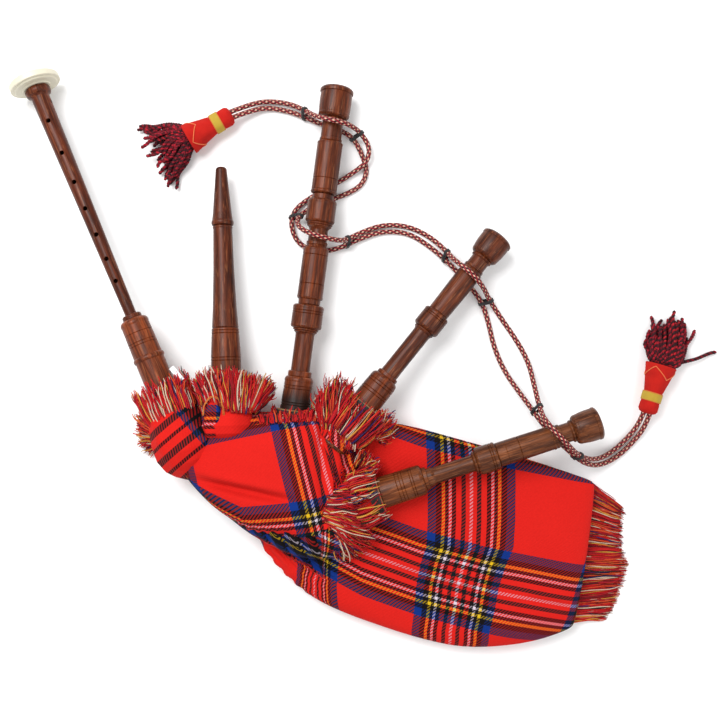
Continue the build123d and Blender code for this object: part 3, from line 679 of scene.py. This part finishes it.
def felt_material():
    s = Shader("felt")
    soft, fine = s.noise(s.place(), 90, 3, 0.6), s.noise(s.place(), 1500, 3, 0.7)
    base = s.mix(soft, colour(146, 18, 16), colour(190, 34, 24))
    return s.finish(base, 0.95, fine, depth=0.0003, specular=0.15)


def band_material():
    s = Shader("tassel_braid")
    turn, across, _ = s.weave()
    rib = s.fold(s.math("ADD", s.times(turn, 40.0), across))
    edge = s.math("GREATER_THAN", s.math("ABSOLUTE", s.math("SUBTRACT", across, 4.5)), 3.4)
    base = s.mix(edge, colour(178, 146, 34), colour(196, 104, 36))
    # painted shade: the braid darkens between its ribs
    return s.finish(s.shaded(base, rib, 0.8, 0.5), 0.75, rib, depth=0.0004)


def on_felt(pipe, s, r, t):
    """A point in mm on a soft head: its wobble grows along the axis, and it is a little flat."""
    swell = 1 + WOBBLE * (s / 50) * sin(3 * t + 1) + WOBBLE * 0.5 * sin(7 * t)
    point, centre = pipe.point(s, r * swell, t), pipe.point(s)
    point[2] = centre[2] + (point[2] - centre[2]) * 0.96
    return point


def lathe(pipe, profile):
    """A turned skin on a tassel's head, closed at both ends."""
    turns = [2 * pi * j / HEAD_SIDES for j in range(HEAD_SIDES)]
    points = [on_felt(pipe, s, r, t) * MM for s, r in profile for t in turns]
    return np.array(points), ring_faces(len(profile), HEAD_SIDES, turned=True, capped=True)


def finer(profile, step=1.5):
    fine = [profile[0]]
    for (s0, r0), (s1, r1) in zip(profile, profile[1:]):
        n = max(1, int(hypot(s1 - s0, r1 - r0) / step))
        fine += [(s0 + (s1 - s0) * k / n, r0 + (r1 - r0) * k / n) for k in range(1, n + 1)]
    return fine


def add_tassel(side, pipe, roots, tips, strays, count, lengths):
    """A felt head with a braid band and a line of stitching, and a skirt of two-ply yarns.
    roots are the ends of the head's mouth, tips the skirt's edge, and strays single yarns."""
    head = add_mesh(f"{side}_tassel_felt", *lathe(pipe, finer(HEAD_PROFILE)))
    dress(head, FELT, "tassel_felt", f"{side}_tassel_head")

    points, faces = lathe(pipe, finer(BAND_PROFILE, 0.7))
    around, across = np.arange(HEAD_SIDES) / 36, np.linspace(0, 9, len(points) // HEAD_SIDES)
    faces = faces[:-2]  # its ends are open
    band = add_mesh(f"{side}_tassel_braid", points, faces, weave=ring_weave(around, across))
    dress(band, BRAID_BAND, "tassel_band", f"{side}_tassel_band")

    stitch = [(46.5 if k % 2 else 36.0, 2 * pi * (k + 0.45) / 6) for k in range(6)]
    line = []
    for (s0, t0), (s1, t1) in zip(stitch, stitch[1:] + [(stitch[0][0], stitch[0][1] + 2 * pi)]):
        for f in np.linspace(0, 1, 9)[:-1]:
            s, t = s0 + (s1 - s0) * f, t0 + (t1 - t0) * f
            r = np.interp(s, [30, 40, 48.5], [10.9, 13.2, 15.2]) + 0.35
            line.append(on_felt(pipe, s, r, t))
    line.append(line[0])
    thread = add_mesh(f"{side}_tassel_stitch", *tube(np.array(line) * MM, 0.45 * MM, 6))
    dress(thread, thread_material(f"{side}_stitch", colour(226, 110, 50)), "thread")

    yarns = Yarns()
    roots, tips, lines = np.array(roots), np.array(tips, float), []
    for i in range(count):
        t = (i + rng.uniform(0.2, 0.8)) / count
        tip = sample(t * (len(tips) - 1), np.arange(len(tips)), tips)
        layer = i % 3
        height = (4.0, 10.0, 17.0)[layer] * rng.uniform(0.8, 1.15)
        root_at = roots[0] + (roots[1] - roots[0]) * t
        root_height = 15 + (layer - 1) * 8.0 * (1 - abs(2 * t - 1)) ** 0.5
        start = pipe.point(41) * 0.55 + np.array([*root_at, 15.0]) * 0.45
        mouth = np.array([*root_at, root_height])
        end = np.array([*tip, max(2.2, height * 0.55)])
        end[:2] += rng.normal(0, 2.6, 2)
        end = mouth + (end - mouth) * rng.uniform(*lengths)
        lines.append((start, mouth, end))
    for root, tip in strays:
        lines.append((pipe.point(41), np.array(root, float), np.array(tip, float)))
    for start, mouth, end in lines:
        run = unit(end - mouth)
        body = bent(mouth, unit(unit(mouth - start) + run), end, run, rng.uniform(1.2, 3.4), 26)
        body = np.concatenate([np.linspace(start, mouth, 5)[:-1], body])
        body[:, 2] = np.maximum(body[:, 2], 2.3)
        body, along = evenly(body, 0.8)
        normals, others = carried_frames(body)
        phase, pitch = rng.uniform(0, 2 * pi), rng.uniform(5.0, 6.6)
        shades = YARN_SHADES[rng.integers(len(YARN_SHADES))]
        for ply in (0, 1):
            angle = along / pitch * 2 * pi + phase + ply * pi
            close = np.minimum(1, 0.25 + (along[-1] - along) / 2.5)
            offset = normals * np.cos(angle)[:, None] + others * np.sin(angle)[:, None]
            line = body + offset * (0.85 * close)[:, None]
            yarns.add(line, 1.2, shades[ply], 7, taper=0.95, lowest=1.2)
    yarns.finish(f"{side}_tassel_yarns", TASSEL_YARN, "tassel_yarn", f"{side}_tassel_skirt")


FELT, BRAID_BAND = felt_material(), band_material()
TASSEL_YARN = yarn_material("tassel_yarn", 2.2, 0.5, 0.8, 0.8)
CRIMSON, BLACKISH = colour(184, 20, 44), colour(84, 16, 30)
YARN_SHADES = [
    (CRIMSON, BLACKISH), (CRIMSON, BLACKISH), (colour(202, 26, 40), colour(40, 16, 24)),
    (colour(146, 16, 38), colour(40, 16, 24)), (CRIMSON, colour(128, 18, 36)),
]
add_tassel(
    "left", LEFT_TASSEL, ((-137.8, 232.0), (-126.0, 209.0)),
    [(-180, 230), (-179, 226), (-182, 221), (-176, 210), (-170, 204), (-163, 199), (-161, 187),
     (-153, 178), (-147, 173), (-143, 192)],
    [((-135, 230, 16), (-181, 232, 4)), ((-126, 210, 12), (-146, 172, 4))], 40, (0.66, 1.05),
)
add_tassel(
    "right", RIGHT_TASSEL, ((324.5, 2.5), (353.5, -5.5)),
    [(326, 20), (331, 40), (336, 36), (343, 42), (351, 45), (357, 42), (358, 38), (359, 24)],
    [((352, 2, 12), (373, 30, 4)), ((352, -4, 10), (395, 7, 4)), ((350, 8, 12), (363, 37, 6))],
    46, (0.86, 1.04),
)

# --- The tartan cover ---
RED, BLUE, DARK = colour(210, 30, 22), colour(6, 48, 128), colour(5, 20, 24)
YELLOW, WHITE, BLACK = colour(214, 184, 26), colour(212, 208, 220), colour(12, 7, 11)
SETT = [
    (0.0, WHITE), (1.4, RED), (5.2, DARK), (9.4, RED), (14.6, BLACK), (19.0, WHITE),
    (21.6, BLACK), (25.2, YELLOW), (28.6, BLACK), (34.0, BLUE), (42.0, RED),
]
HALF_REPEAT = 82.5
RIB = 3.5


def tartan_material():
    """A twill: warp and weft follow the same order of stripes, and diagonal ribs show one or
    the other."""
    s = Shader("tartan")
    u, v, across = s.weave()
    stops = [(place / HALF_REPEAT, shade) for place, shade in SETT]
    threads = [
        s.ramp(s.math("DIVIDE", s.fold(way, HALF_REPEAT), HALF_REPEAT), stops, steps=True)
        for way in (u, v)
    ]
    wave = s.times(s.fold(s.math("DIVIDE", across, RIB)), 2.0)
    edges = {"From Min": 0.42, "From Max": 0.58}
    pick = s.node("MapRange", wave, interpolation_type="SMOOTHSTEP", named=edges)
    base = s.mix(0.62, s.mix(pick, *threads), s.mix(1.0, *threads, blend="DARKEN"))
    slub, broad = s.noise(s.place(), 520, 3, 0.7), s.noise(s.place(), 14, 2, 0.5)
    base = s.cover(base, slub, 0.5, (0.5, 0.4, 0.4, 1), blend="MULTIPLY")
    # broad: soft blotches, darker at random; partly uneven cloth, partly painted shade standing
    # for the cloth's soft undulations
    base = s.mix(broad, base, (0.9, 0.72, 0.75, 1), blend="MULTIPLY")
    height = s.math("ADD", s.times(wave, 0.6), s.times(slub, 0.5))
    return s.finish(base, 0.9, height, depth=0.0004, strength=0.6, specular=0.15)


TARTAN = tartan_material()


def rounded(outline):
    """An outline with its corners cut off twice."""
    points = np.array(outline, float)
    for _ in range(2):
        following = np.roll(points, -1, axis=0)
        cuts = points * 0.75 + following * 0.25, points * 0.25 + following * 0.75
        points = np.stack(cuts, axis=1).reshape(-1, 2)
    return points


def reach_by_angle(outline, centre, angles):
    """How far the outline is from the centre at each angle."""
    shape = rounded(outline)
    start, edge = shape - np.array(centre, float), np.roll(shape, -1, axis=0) - shape
    reach = []
    for x, y in zip(np.cos(angles), np.sin(angles)):
        cross = x * edge[:, 1] - y * edge[:, 0]
        cross[np.abs(cross) < 1e-9] = 1e-9
        t = (start[:, 0] * edge[:, 1] - start[:, 1] * edge[:, 0]) / cross
        k = (start[:, 0] * y - start[:, 1] * x) / cross
        reach.append(t[(k >= 0) & (k <= 1) & (t > 0)].max())
    return np.array(reach)


def crease(x, y, route, width, depth, lip):
    """A fold along a route of points in mm: how far it moves the cloth up at (x, y). lip is how
    high the cloth stands on the fold's left."""
    best, side, fade = np.full(x.shape, 1e9), 0, 0
    route = np.array(route, float)
    for i, (a, edge) in enumerate(zip(route, np.diff(route, axis=0))):
        t = ((x - a[0]) * edge[0] + (y - a[1]) * edge[1]) / edge.dot(edge)
        t = np.clip(t, 0, 1)
        dx, dy = x - a[0] - edge[0] * t, y - a[1] - edge[1] * t
        distance = np.hypot(dx, dy)
        closer = distance < best
        best = np.where(closer, distance, best)
        side = np.where(closer, np.sign(edge[0] * dy - edge[1] * dx), side)
        fade = np.where(closer, np.sin(pi * np.clip((i + t) / (len(route) - 1), 0.02, 0.98)), fade)
    fade = fade**0.5
    move = -depth * np.exp(-((best / width) ** 2))
    move += lip * np.exp(-(((best - 1.7 * width) / (1.2 * width)) ** 2)) * (side > 0)
    return move * fade


def over_bag(x, y, z, gap):
    """Lifts cloth heights in mm to at least a gap above the inner bag."""
    lifted = z.copy()
    for index in np.ndindex(*z.shape):
        hit = BAG_TREE.ray_cast((x[index] * MM, y[index] * MM, ABOVE), (0, 0, -1))[0]
        if hit is not None:
            lifted[index] = max(lifted[index], hit.z / MM + gap)
    return lifted


ROUNDING = 0.42  # how fully a padded form's edge is turned: less is fuller
CROWDING = 1.9  # how much closer its rings lie towards the edge
inner = bpy.data.objects["inner_bag"].data
ABOVE = 0.2  # m, higher than the set
BAG_TREE = BVHTree.FromPolygons(
    [v.co[:] for v in inner.vertices], [tuple(p.vertices) for p in inner.polygons]
)


def padded_form(name, outline, centre, bottom, top, power, weave, folds=(), ripples=(), gap=1.2):
    """A stuffed form over an outline. weave gives cloth coordinates from arrays of x and y, and
    is stretched down the sides by the cloth's own length. folds are creases in the top."""
    count, rows = 360, 110
    angles = np.arange(count) * 2 * pi / count
    reach = reach_by_angle(outline, centre, angles)
    for start, end, waves, size in ripples:
        inside = np.clip(np.minimum(angles - start, end - angles) / 0.15, 0, 1)
        reach = reach + inside * size * np.sin(angles * waves)
    middle, half = (bottom + top) / 2, (top - bottom) / 2
    rho = 1 - (1 - np.linspace(0, 1, rows)) ** CROWDING
    points, weaves = [], []
    for way in (1, -1):
        part = (rho if way > 0 else rho[-2::-1])[:, None]
        x = centre[0] + np.cos(angles) * reach * part
        y = centre[1] + np.sin(angles) * reach * part
        rise = (1 - part**power) ** ROUNDING
        z = middle + way * half * rise * np.ones(count)
        if way > 0:
            for fold in folds:
                z = z + crease(x, y, *fold) * rise
            z = z + rise * (
                0.9 * np.sin(x / 17 + y / 29) + 0.8 * np.sin(y / 13 - x / 31 + 2)
                + 0.3 * np.sin(x / 6.1 + y / 8.3) * np.sin(y / 11 - x / 23)
            )
            z = over_bag(x, y, z, gap)
        z = np.maximum(z, bottom)
        plan = np.hypot(x - centre[0], y - centre[1])
        if way > 0:
            steps = np.hypot(np.diff(plan, axis=0), np.diff(z, axis=0))
            length = np.concatenate([np.zeros((1, count)), np.cumsum(steps, axis=0)])
            extra = np.maximum(0, length - plan)
            extra = np.maximum(np.where(part > 0.8, extra - extra[rows // 2], 0), 0)
            rim = extra[-1]
        else:
            extra = rim + np.linspace(0, half, len(part))[:, None]
        u, v = weave(x + np.cos(angles) * extra, y + np.sin(angles) * extra)
        points.append(np.stack([x, y, z], axis=-1).reshape(-1, 3))
        weaves.append(np.stack([u, v, u - v], axis=-1).reshape(-1, 3))
    points, weaves = np.concatenate(points) * MM, np.concatenate(weaves)
    faces = ring_faces(2 * rows - 1, count, turned=True)
    return dress(add_mesh(name, points, faces, weave=weaves), TARTAN, "tartan")


def front_weave(x, y):
    """The front's cloth: a band down its right, one along the top and one along the bottom."""
    blue_edge = -43.5 - 0.244 * (y + 66.8)
    u = (x - blue_edge - 43.0) * 0.98
    upper = -80.7 + (x + 109.4) * 0.211
    lower = np.interp(x, [-125, -106.8, -71.4, -27.1, 30], [-112, -121.1, -137.6, -133.9, -124])
    between = np.clip((y - lower) / np.maximum(upper - lower, 10), 0, 1)
    v = 42 + between * 81 + np.maximum(y - upper, 0) + np.minimum(y - lower, 0)
    return u, v


def rear_weave(x, y):
    """The rear's cloth: bands down and across it, swinging with the cloth."""
    line_y = [-263.5, -242, -220.5, -199, -181.5, -155.3, -123.1, -80]
    line_x = [127.3, 131.2, 134, 139.4, 146.2, 147.7, 147.8, 147.0]
    narrow = np.interp(y, [-265, -190, -80], [1.12, 1.0, 0.98])
    u = (x - np.interp(y, line_y, line_x)) * narrow
    gathered = np.maximum(0, 12 - x)
    u = u - gathered + np.minimum(gathered, 20) * 0.06 * np.sin(y / 2.2 + x / 5)
    across_x = [-60, 0, 41.5, 98.1, 170.2, 250.2, 270]
    across_y = [-128, -164, -185.8, -206.3, -224.8, -240.4, -243.5]
    v = y - np.interp(x, across_x, across_y)
    bunched = (gathered > 8) & (v > -47)
    return np.where(bunched, 33 + 4 * np.sin(x / 2.6 + y / 7), u), v


def under_weave(x, y):
    """The cloth under the front: gathered into the rear's along the seam."""
    low = y < -150
    (u, v), (rear_u, rear_v) = front_weave(x, y), rear_weave(x, y)
    return np.where(low, rear_u, u), np.where(low, rear_v, v)


FRONT_FOLDS = [
    ([(-118, -111), (-95, -117), (-73, -122), (-50, -127), (-24, -132)], 4.5, 9.0, 1.5),
    ([(2, -60), (9, -95), (8, -130)], 5.0, 8.0, 2.0),
    ([(-56, -152), (-26, -154), (2, -150)], 3.0, 2.0, 1.0),
]
UNDER_FOLDS = [
    ([(-52, -158), (-46, -172), (-40, -186)], 2.4, 4.5, 2.0),
    ([(-36, -158), (-31, -174), (-25, -190)], 2.4, 4.5, 2.0),
    ([(-20, -158), (-15, -174), (-9, -192)], 2.4, 4.5, 2.0),
    ([(-5, -158), (-2, -174), (5, -192)], 2.4, 4.0, 2.0),
    ([(22, -76), (27, -96), (24, -120)], 4.0, 7.0, 2.0),
]
under = padded_form(
    "under_cover",
    [(-126, -46), (-68, -50), (0, -50), (24, -64), (42, -98), (40, -160), (22, -193),
     (-20, -192), (-63, -171), (-91, -149), (-123, -123)],
    (-35, -112), 0.3, 57.0, 5.0, under_weave, UNDER_FOLDS,
)
front = padded_form(
    "front_cover",
    [(-112, -70), (-80, -62), (-46, -55), (-12, -52), (6, -58), (13, -80), (15, -110), (14, -150),
     (6, -163), (-16, -168), (-46, -167), (-66, -163), (-74, -158), (-91, -148), (-106, -136),
     (-120, -121), (-129, -110), (-130, -99), (-125, -88), (-118, -79)],
    (-45, -112), 3.0, 66.0, 5.0, front_weave, FRONT_FOLDS, [(3.9, 5.6, 34, 1.0)], gap=2.8,
)
REAR_FOLDS = [
    ([(60, -196), (110, -215), (160, -226)], 4.0, 2.2, 1.6),
    ([(158, -120), (152, -160), (143, -205)], 5.0, 1.8, 1.4),
    ([(40, -222), (90, -240), (140, -252)], 4.0, 1.8, 1.2),
    ([(200, -232), (225, -236), (250, -243)], 4.0, 2.0, 1.6),
    ([(-52, -182), (-46, -188), (-34, -202)], 2.2, 3.2, 1.6),
    ([(-44, -180), (-36, -188), (-20, -206)], 2.4, 3.6, 1.6),
    ([(-30, -186), (-20, -196), (-2, -212)], 2.4, 3.6, 1.6),
    ([(-16, -190), (-4, -200), (16, -214)], 2.4, 3.2, 1.6),
    ([(0, -194), (14, -204), (34, -214)], 2.4, 2.8, 1.4),
]
rear = padded_form(
    "rear_cover",
    [(-2, -58), (70, -59), (143, -79), (196, -94), (262, -116), (270, -120), (270, -128),
     (266, -166), (259, -216), (251, -256), (247, -264), (205, -278), (145, -283), (97, -273),
     (40, -254), (8, -241), (-16, -227), (-44, -200), (-64, -172), (-47, -130), (-22, -90)],
    (110, -170), 0.3, 30.5, 9.0, rear_weave, REAR_FOLDS, [(3.12, 3.66, 74, 1.0)],
)


def add_sleeve(name, pipe, rings, weave, pleats=0, depth=0.0, sag=1.0):
    """A gathered neck of cloth round a pipe: rings are (distance, radius, shift up), and sag is
    how many times deeper its lower half hangs."""
    sides, steps = 140, 10
    places = np.arange((len(rings) - 1) * steps + 1) / steps
    rows = sample(places, np.arange(len(rings)), np.array(rings, float))
    points, weaves = [], []
    for s, r, h in rows:
        for j in range(sides):
            t = 2 * pi * j / sides
            radius = r * (1 + depth * sin(pleats * t + 0.04 * s))
            point, middle = pipe.point(s, radius, t), pipe.point(s)[2]
            point[2] = middle + (point[2] - middle) * (sag if point[2] < middle else 1) + h
            point[2] = max(point[2], 0.6)
            points.append(point)
    points = np.array(points)
    u, v, across = weave(points[:, 0], points[:, 1], points[:, 2])
    faces = ring_faces(len(rows), sides, turned=True)
    form = add_mesh(name, points * MM, faces, weave=np.stack([u, v, across], axis=-1))
    return dress(form, TARTAN, "tartan")


def neck_weave(x, y, z):
    """Dark lines across the neck, and a blue band running into black down its inner side: the
    cloth's own band, widened over the darker valley there as painted shade.
    """
    along = (x + 143.5) * 0.64 - (y + 62) * 0.77
    across = (x + 143.5) * 0.77 + (y + 62) * 0.64
    lines = 11.9 - 3.25 * np.cos((along + 1) * 2 * pi / 25)
    return np.maximum(62 - across * 1.4 + z * 0.05, 30), lines, across * 1.25 + along * 0.6


def sleeve_weave(x, y, z):
    return x + 139 + z * 0.2, y * 0.2 + 70 + z * 0.1, x - y


def pocket_weave(x, y):
    return 46 - (x + 98.6), (y + 55) * 1.2 + 26


neck = add_sleeve(
    "neck_cover", PIPES["chanter"],
    [(350, 24.5, 0), (358, 26, 0), (372, 30, -2), (388, 31, -4), (400, 27.5, -6),
     (408, 21, -8), (415, 12, -9), (418, 2, -9)],
    neck_weave, 9, 0.02, 1.3,
)
sleeve = add_sleeve(
    "blowpipe_sleeve", PIPES["blowpipe"],
    [(236, 23, 2), (244, 25.5, 4), (252, 26, 5), (260, 24, 4), (266, 18, 2)],
    sleeve_weave, 7, 0.015,
)
pocket = padded_form(
    "pocket_cover",
    [(-108, -76), (-108, -52), (-105, -40), (-98.6, -34.5), (-92, -39), (-89.5, -50), (-89, -72)],
    (-98.6, -56), 30.0, 65.0, 6.0, pocket_weave,
)
edging = Yarns()
for shift in (0.0, 1.1):
    arc = [(-107 - shift, -52, 62), (-106.5, -43 + shift, 64), (-102, -36 + shift, 64.5),
           (-97, -34 + shift, 64.5), (-92, -37 + shift, 64.5), (-89 + shift, -44, 64),
           (-88.5 + shift, -52, 63)]
    smooth, _ = evenly(np.array(arc, float), 2.0)
    edging.add(smooth, 0.5, colour(222, 128, 58))
edging.finish("pocket_edging", FRINGE_YARN, "fringe")
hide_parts("bag_cover")

# --- Wood, and the other CAD pieces ---


def wood_material(name, pipe, light, dark, darken=None):
    """Turned rosewood with its grain along a pipe. darken is an optional (place, place) over
    which painted shade turns the wood nearly black."""
    s = Shader(name)
    side, up, run = (s.along(pipe, way) for way in (pipe.side, pipe.up, pipe.axis))

    def drawn(stretch, first=side, second=up):
        """Coordinates in which noise is drawn out along the pipe."""
        return s.node("CombineXYZ", first, second, s.times(run, stretch))

    grain = s.noise(drawn(0.08), 420, 5, 0.65, Distortion=0.4)
    broad = s.noise(drawn(0.08), 95, 3, 0.6, Distortion=0.8)
    pores = s.mask(s.noise(drawn(0.02), 1900, 2, 0.6), 0.52, 0.66)
    flecks = s.mask(s.noise(drawn(0.06, up, side), 760, 3, 0.6), 0.56, 0.68)
    base = s.mix(s.mask(broad, 0.3, 0.7), dark, light)
    streak = s.ramp(grain, [(0.4, (0.34, 0.3, 0.28, 1)), (0.6, grey(1))])
    base = s.mix(0.85, base, streak, blend="MULTIPLY")
    base = s.cover(base, pores, 0.5, (0.02, 0.008, 0.006, 1))
    base = s.cover(base, flecks, 0.3, FLECK)
    if darken:
        # painted shade: past darken[0] the wood goes nearly black, where the pipe nears the cloth
        along = s.times(run, 1000.0)
        depth = s.node("MapRange", along, named={"From Min": darken[0], "From Max": darken[1]})
        base = s.cover(base, depth, 0.93, (0.012, 0.008, 0.007, 1))
    rough = s.math("ADD", 0.3, s.times(grain, 0.12))
    return s.finish(base, rough, grain, depth=0.0002, strength=0.4, specular=0.18)


ROSE = colour(126, 57, 24), colour(66, 24, 10)
PALE = colour(154, 74, 36), colour(86, 37, 20)
GREYER = colour(134, 72, 34), colour(76, 34, 16)
DEEP = colour(110, 48, 22), colour(60, 22, 10)
FLECK = colour(178, 112, 72)
JOINT_WOODS = {
    "chanter": DEEP, "blowpipe": (colour(102, 45, 20), colour(56, 21, 10)),
    "bass": (colour(118, 53, 22), colour(62, 23, 10)),
    "tenor_1": (colour(108, 49, 21), colour(58, 22, 10)),
    "tenor_2": (colour(118, 64, 31), colour(68, 31, 15)),
}
STOCK_WOODS = {
    "chanter": PALE, "blowpipe": ROSE, "bass": PALE, "tenor_1": ROSE, "tenor_2": GREYER,
}
COLLAR_SHADE = {"bass": (292, 308)}  # mm along the pipe, over which painted shade turns its wood nearly black, towards the fringe and the cloth's hem
WOODS = {
    key + part: wood_material(key + part + "_wood", PIPES[key], *tones[key], COLLAR_SHADE.get(key))
    for part, tones in (("", JOINT_WOODS), ("_stock", STOCK_WOODS))
    for key in PIPES
}


def plain_material(name, shade, rough, scale, metallic=0.0, mottle=0.25):
    s = Shader(name)
    grain = s.noise(s.place(), scale, 4, 0.6)
    darker = tuple(c * (1 - mottle) for c in shade[:3]) + (1,)
    base = s.mix(grain, darker, shade)
    return s.finish(base, rough, grain, depth=0.0002, strength=0.3, Metallic=metallic)


def wound_material(name, pipe, shade, pitch):
    """Waxed thread wound round a pipe, with shade painted into the grooves between its turns."""
    s = Shader(name)
    turn = s.fold(s.math("DIVIDE", s.along(pipe, pipe.axis), pitch * MM))
    return s.finish(s.shaded(shade, turn, 0.35, 0.4), 0.7, turn, depth=0.0004)


IVORY = plain_material("ivory", colour(214, 208, 186), 0.4, 220, mottle=0.16)
CANE = plain_material("cane", colour(206, 168, 92), 0.5, 500, mottle=0.3)
BRASS = plain_material("brass", colour(196, 156, 76), 0.28, 200, metallic=1.0, mottle=0.1)
HIDE = plain_material("bag_hide", colour(150, 112, 72), 0.7, 140, mottle=0.3)
LEATHER = plain_material("valve_leather", colour(94, 60, 38), 0.65, 400, mottle=0.3)
TAPE = plain_material("white_tape", colour(238, 238, 242), 0.6, 300, mottle=0.06)
BINDING = plain_material("binding_thread", colour(40, 34, 30), 0.7, 900)
# The CAD pieces that are not turned wood: how their names end, a material, and the angle in
# degrees past which an edge stays sharp.
FINISHES = (
    ("chanter_sole", IVORY, 32), (("reed_body", "reed_tongue", "reed_blades"), CANE, None),
    (("reed_staple", "valve_pin", "valve_seat"), BRASS, 32), ("valve_flap", LEATHER, None),
    ("inner_bag", HIDE, 40), ("binding_tail", TAPE, None), ("stock_bindings", BINDING, None),
)
WINDINGS = (
    ("hemp", colour(202, 176, 110), 0.8),
    (("reed_binding", "bridle"), colour(206, 190, 150), 0.6),
)
for name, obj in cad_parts.items():
    key = next((key for key in PIPES if name.startswith(key)), "blowpipe")
    if name in ("chanter", "blowpipe", "mouthpiece") or name.endswith(("_joint", "_stock")):
        wear(obj, WOODS[key + "_stock" if name.endswith("_stock") else key], 32)
    for ending, material, sharp in FINISHES:
        if name.endswith(ending):
            wear(obj, material, sharp)
    for ending, shade, pitch in WINDINGS:
        if name.endswith(ending):
            wear(obj, wound_material(name + "_thread", PIPES[key], shade, pitch))

# --- Floor and light ---
floor = add_mesh("floor", [(-3, -3, 0), (3, -3, 0), (3, 3, 0), (-3, 3, 0)], [(0, 1, 2, 3)], False)
wear(floor, plain_material("floor_white", grey(0.93), 0.9, 5, mottle=0.01))
world = bpy.data.worlds.new("studio")
world.use_nodes = True
background = world.node_tree.nodes["Background"]
background.inputs[0].default_value = grey(1)
background.inputs[1].default_value = WORLD_LIGHT
scene.world = world
scene.view_settings.view_transform = "Standard"
add_area("key", (-0.5, 0.6, 1.3), (0, -0.05, 0), 0.8, 22)
add_area("fill", (0.9, -0.4, 1.1), (0, -0.05, 0), 1.2, 6)
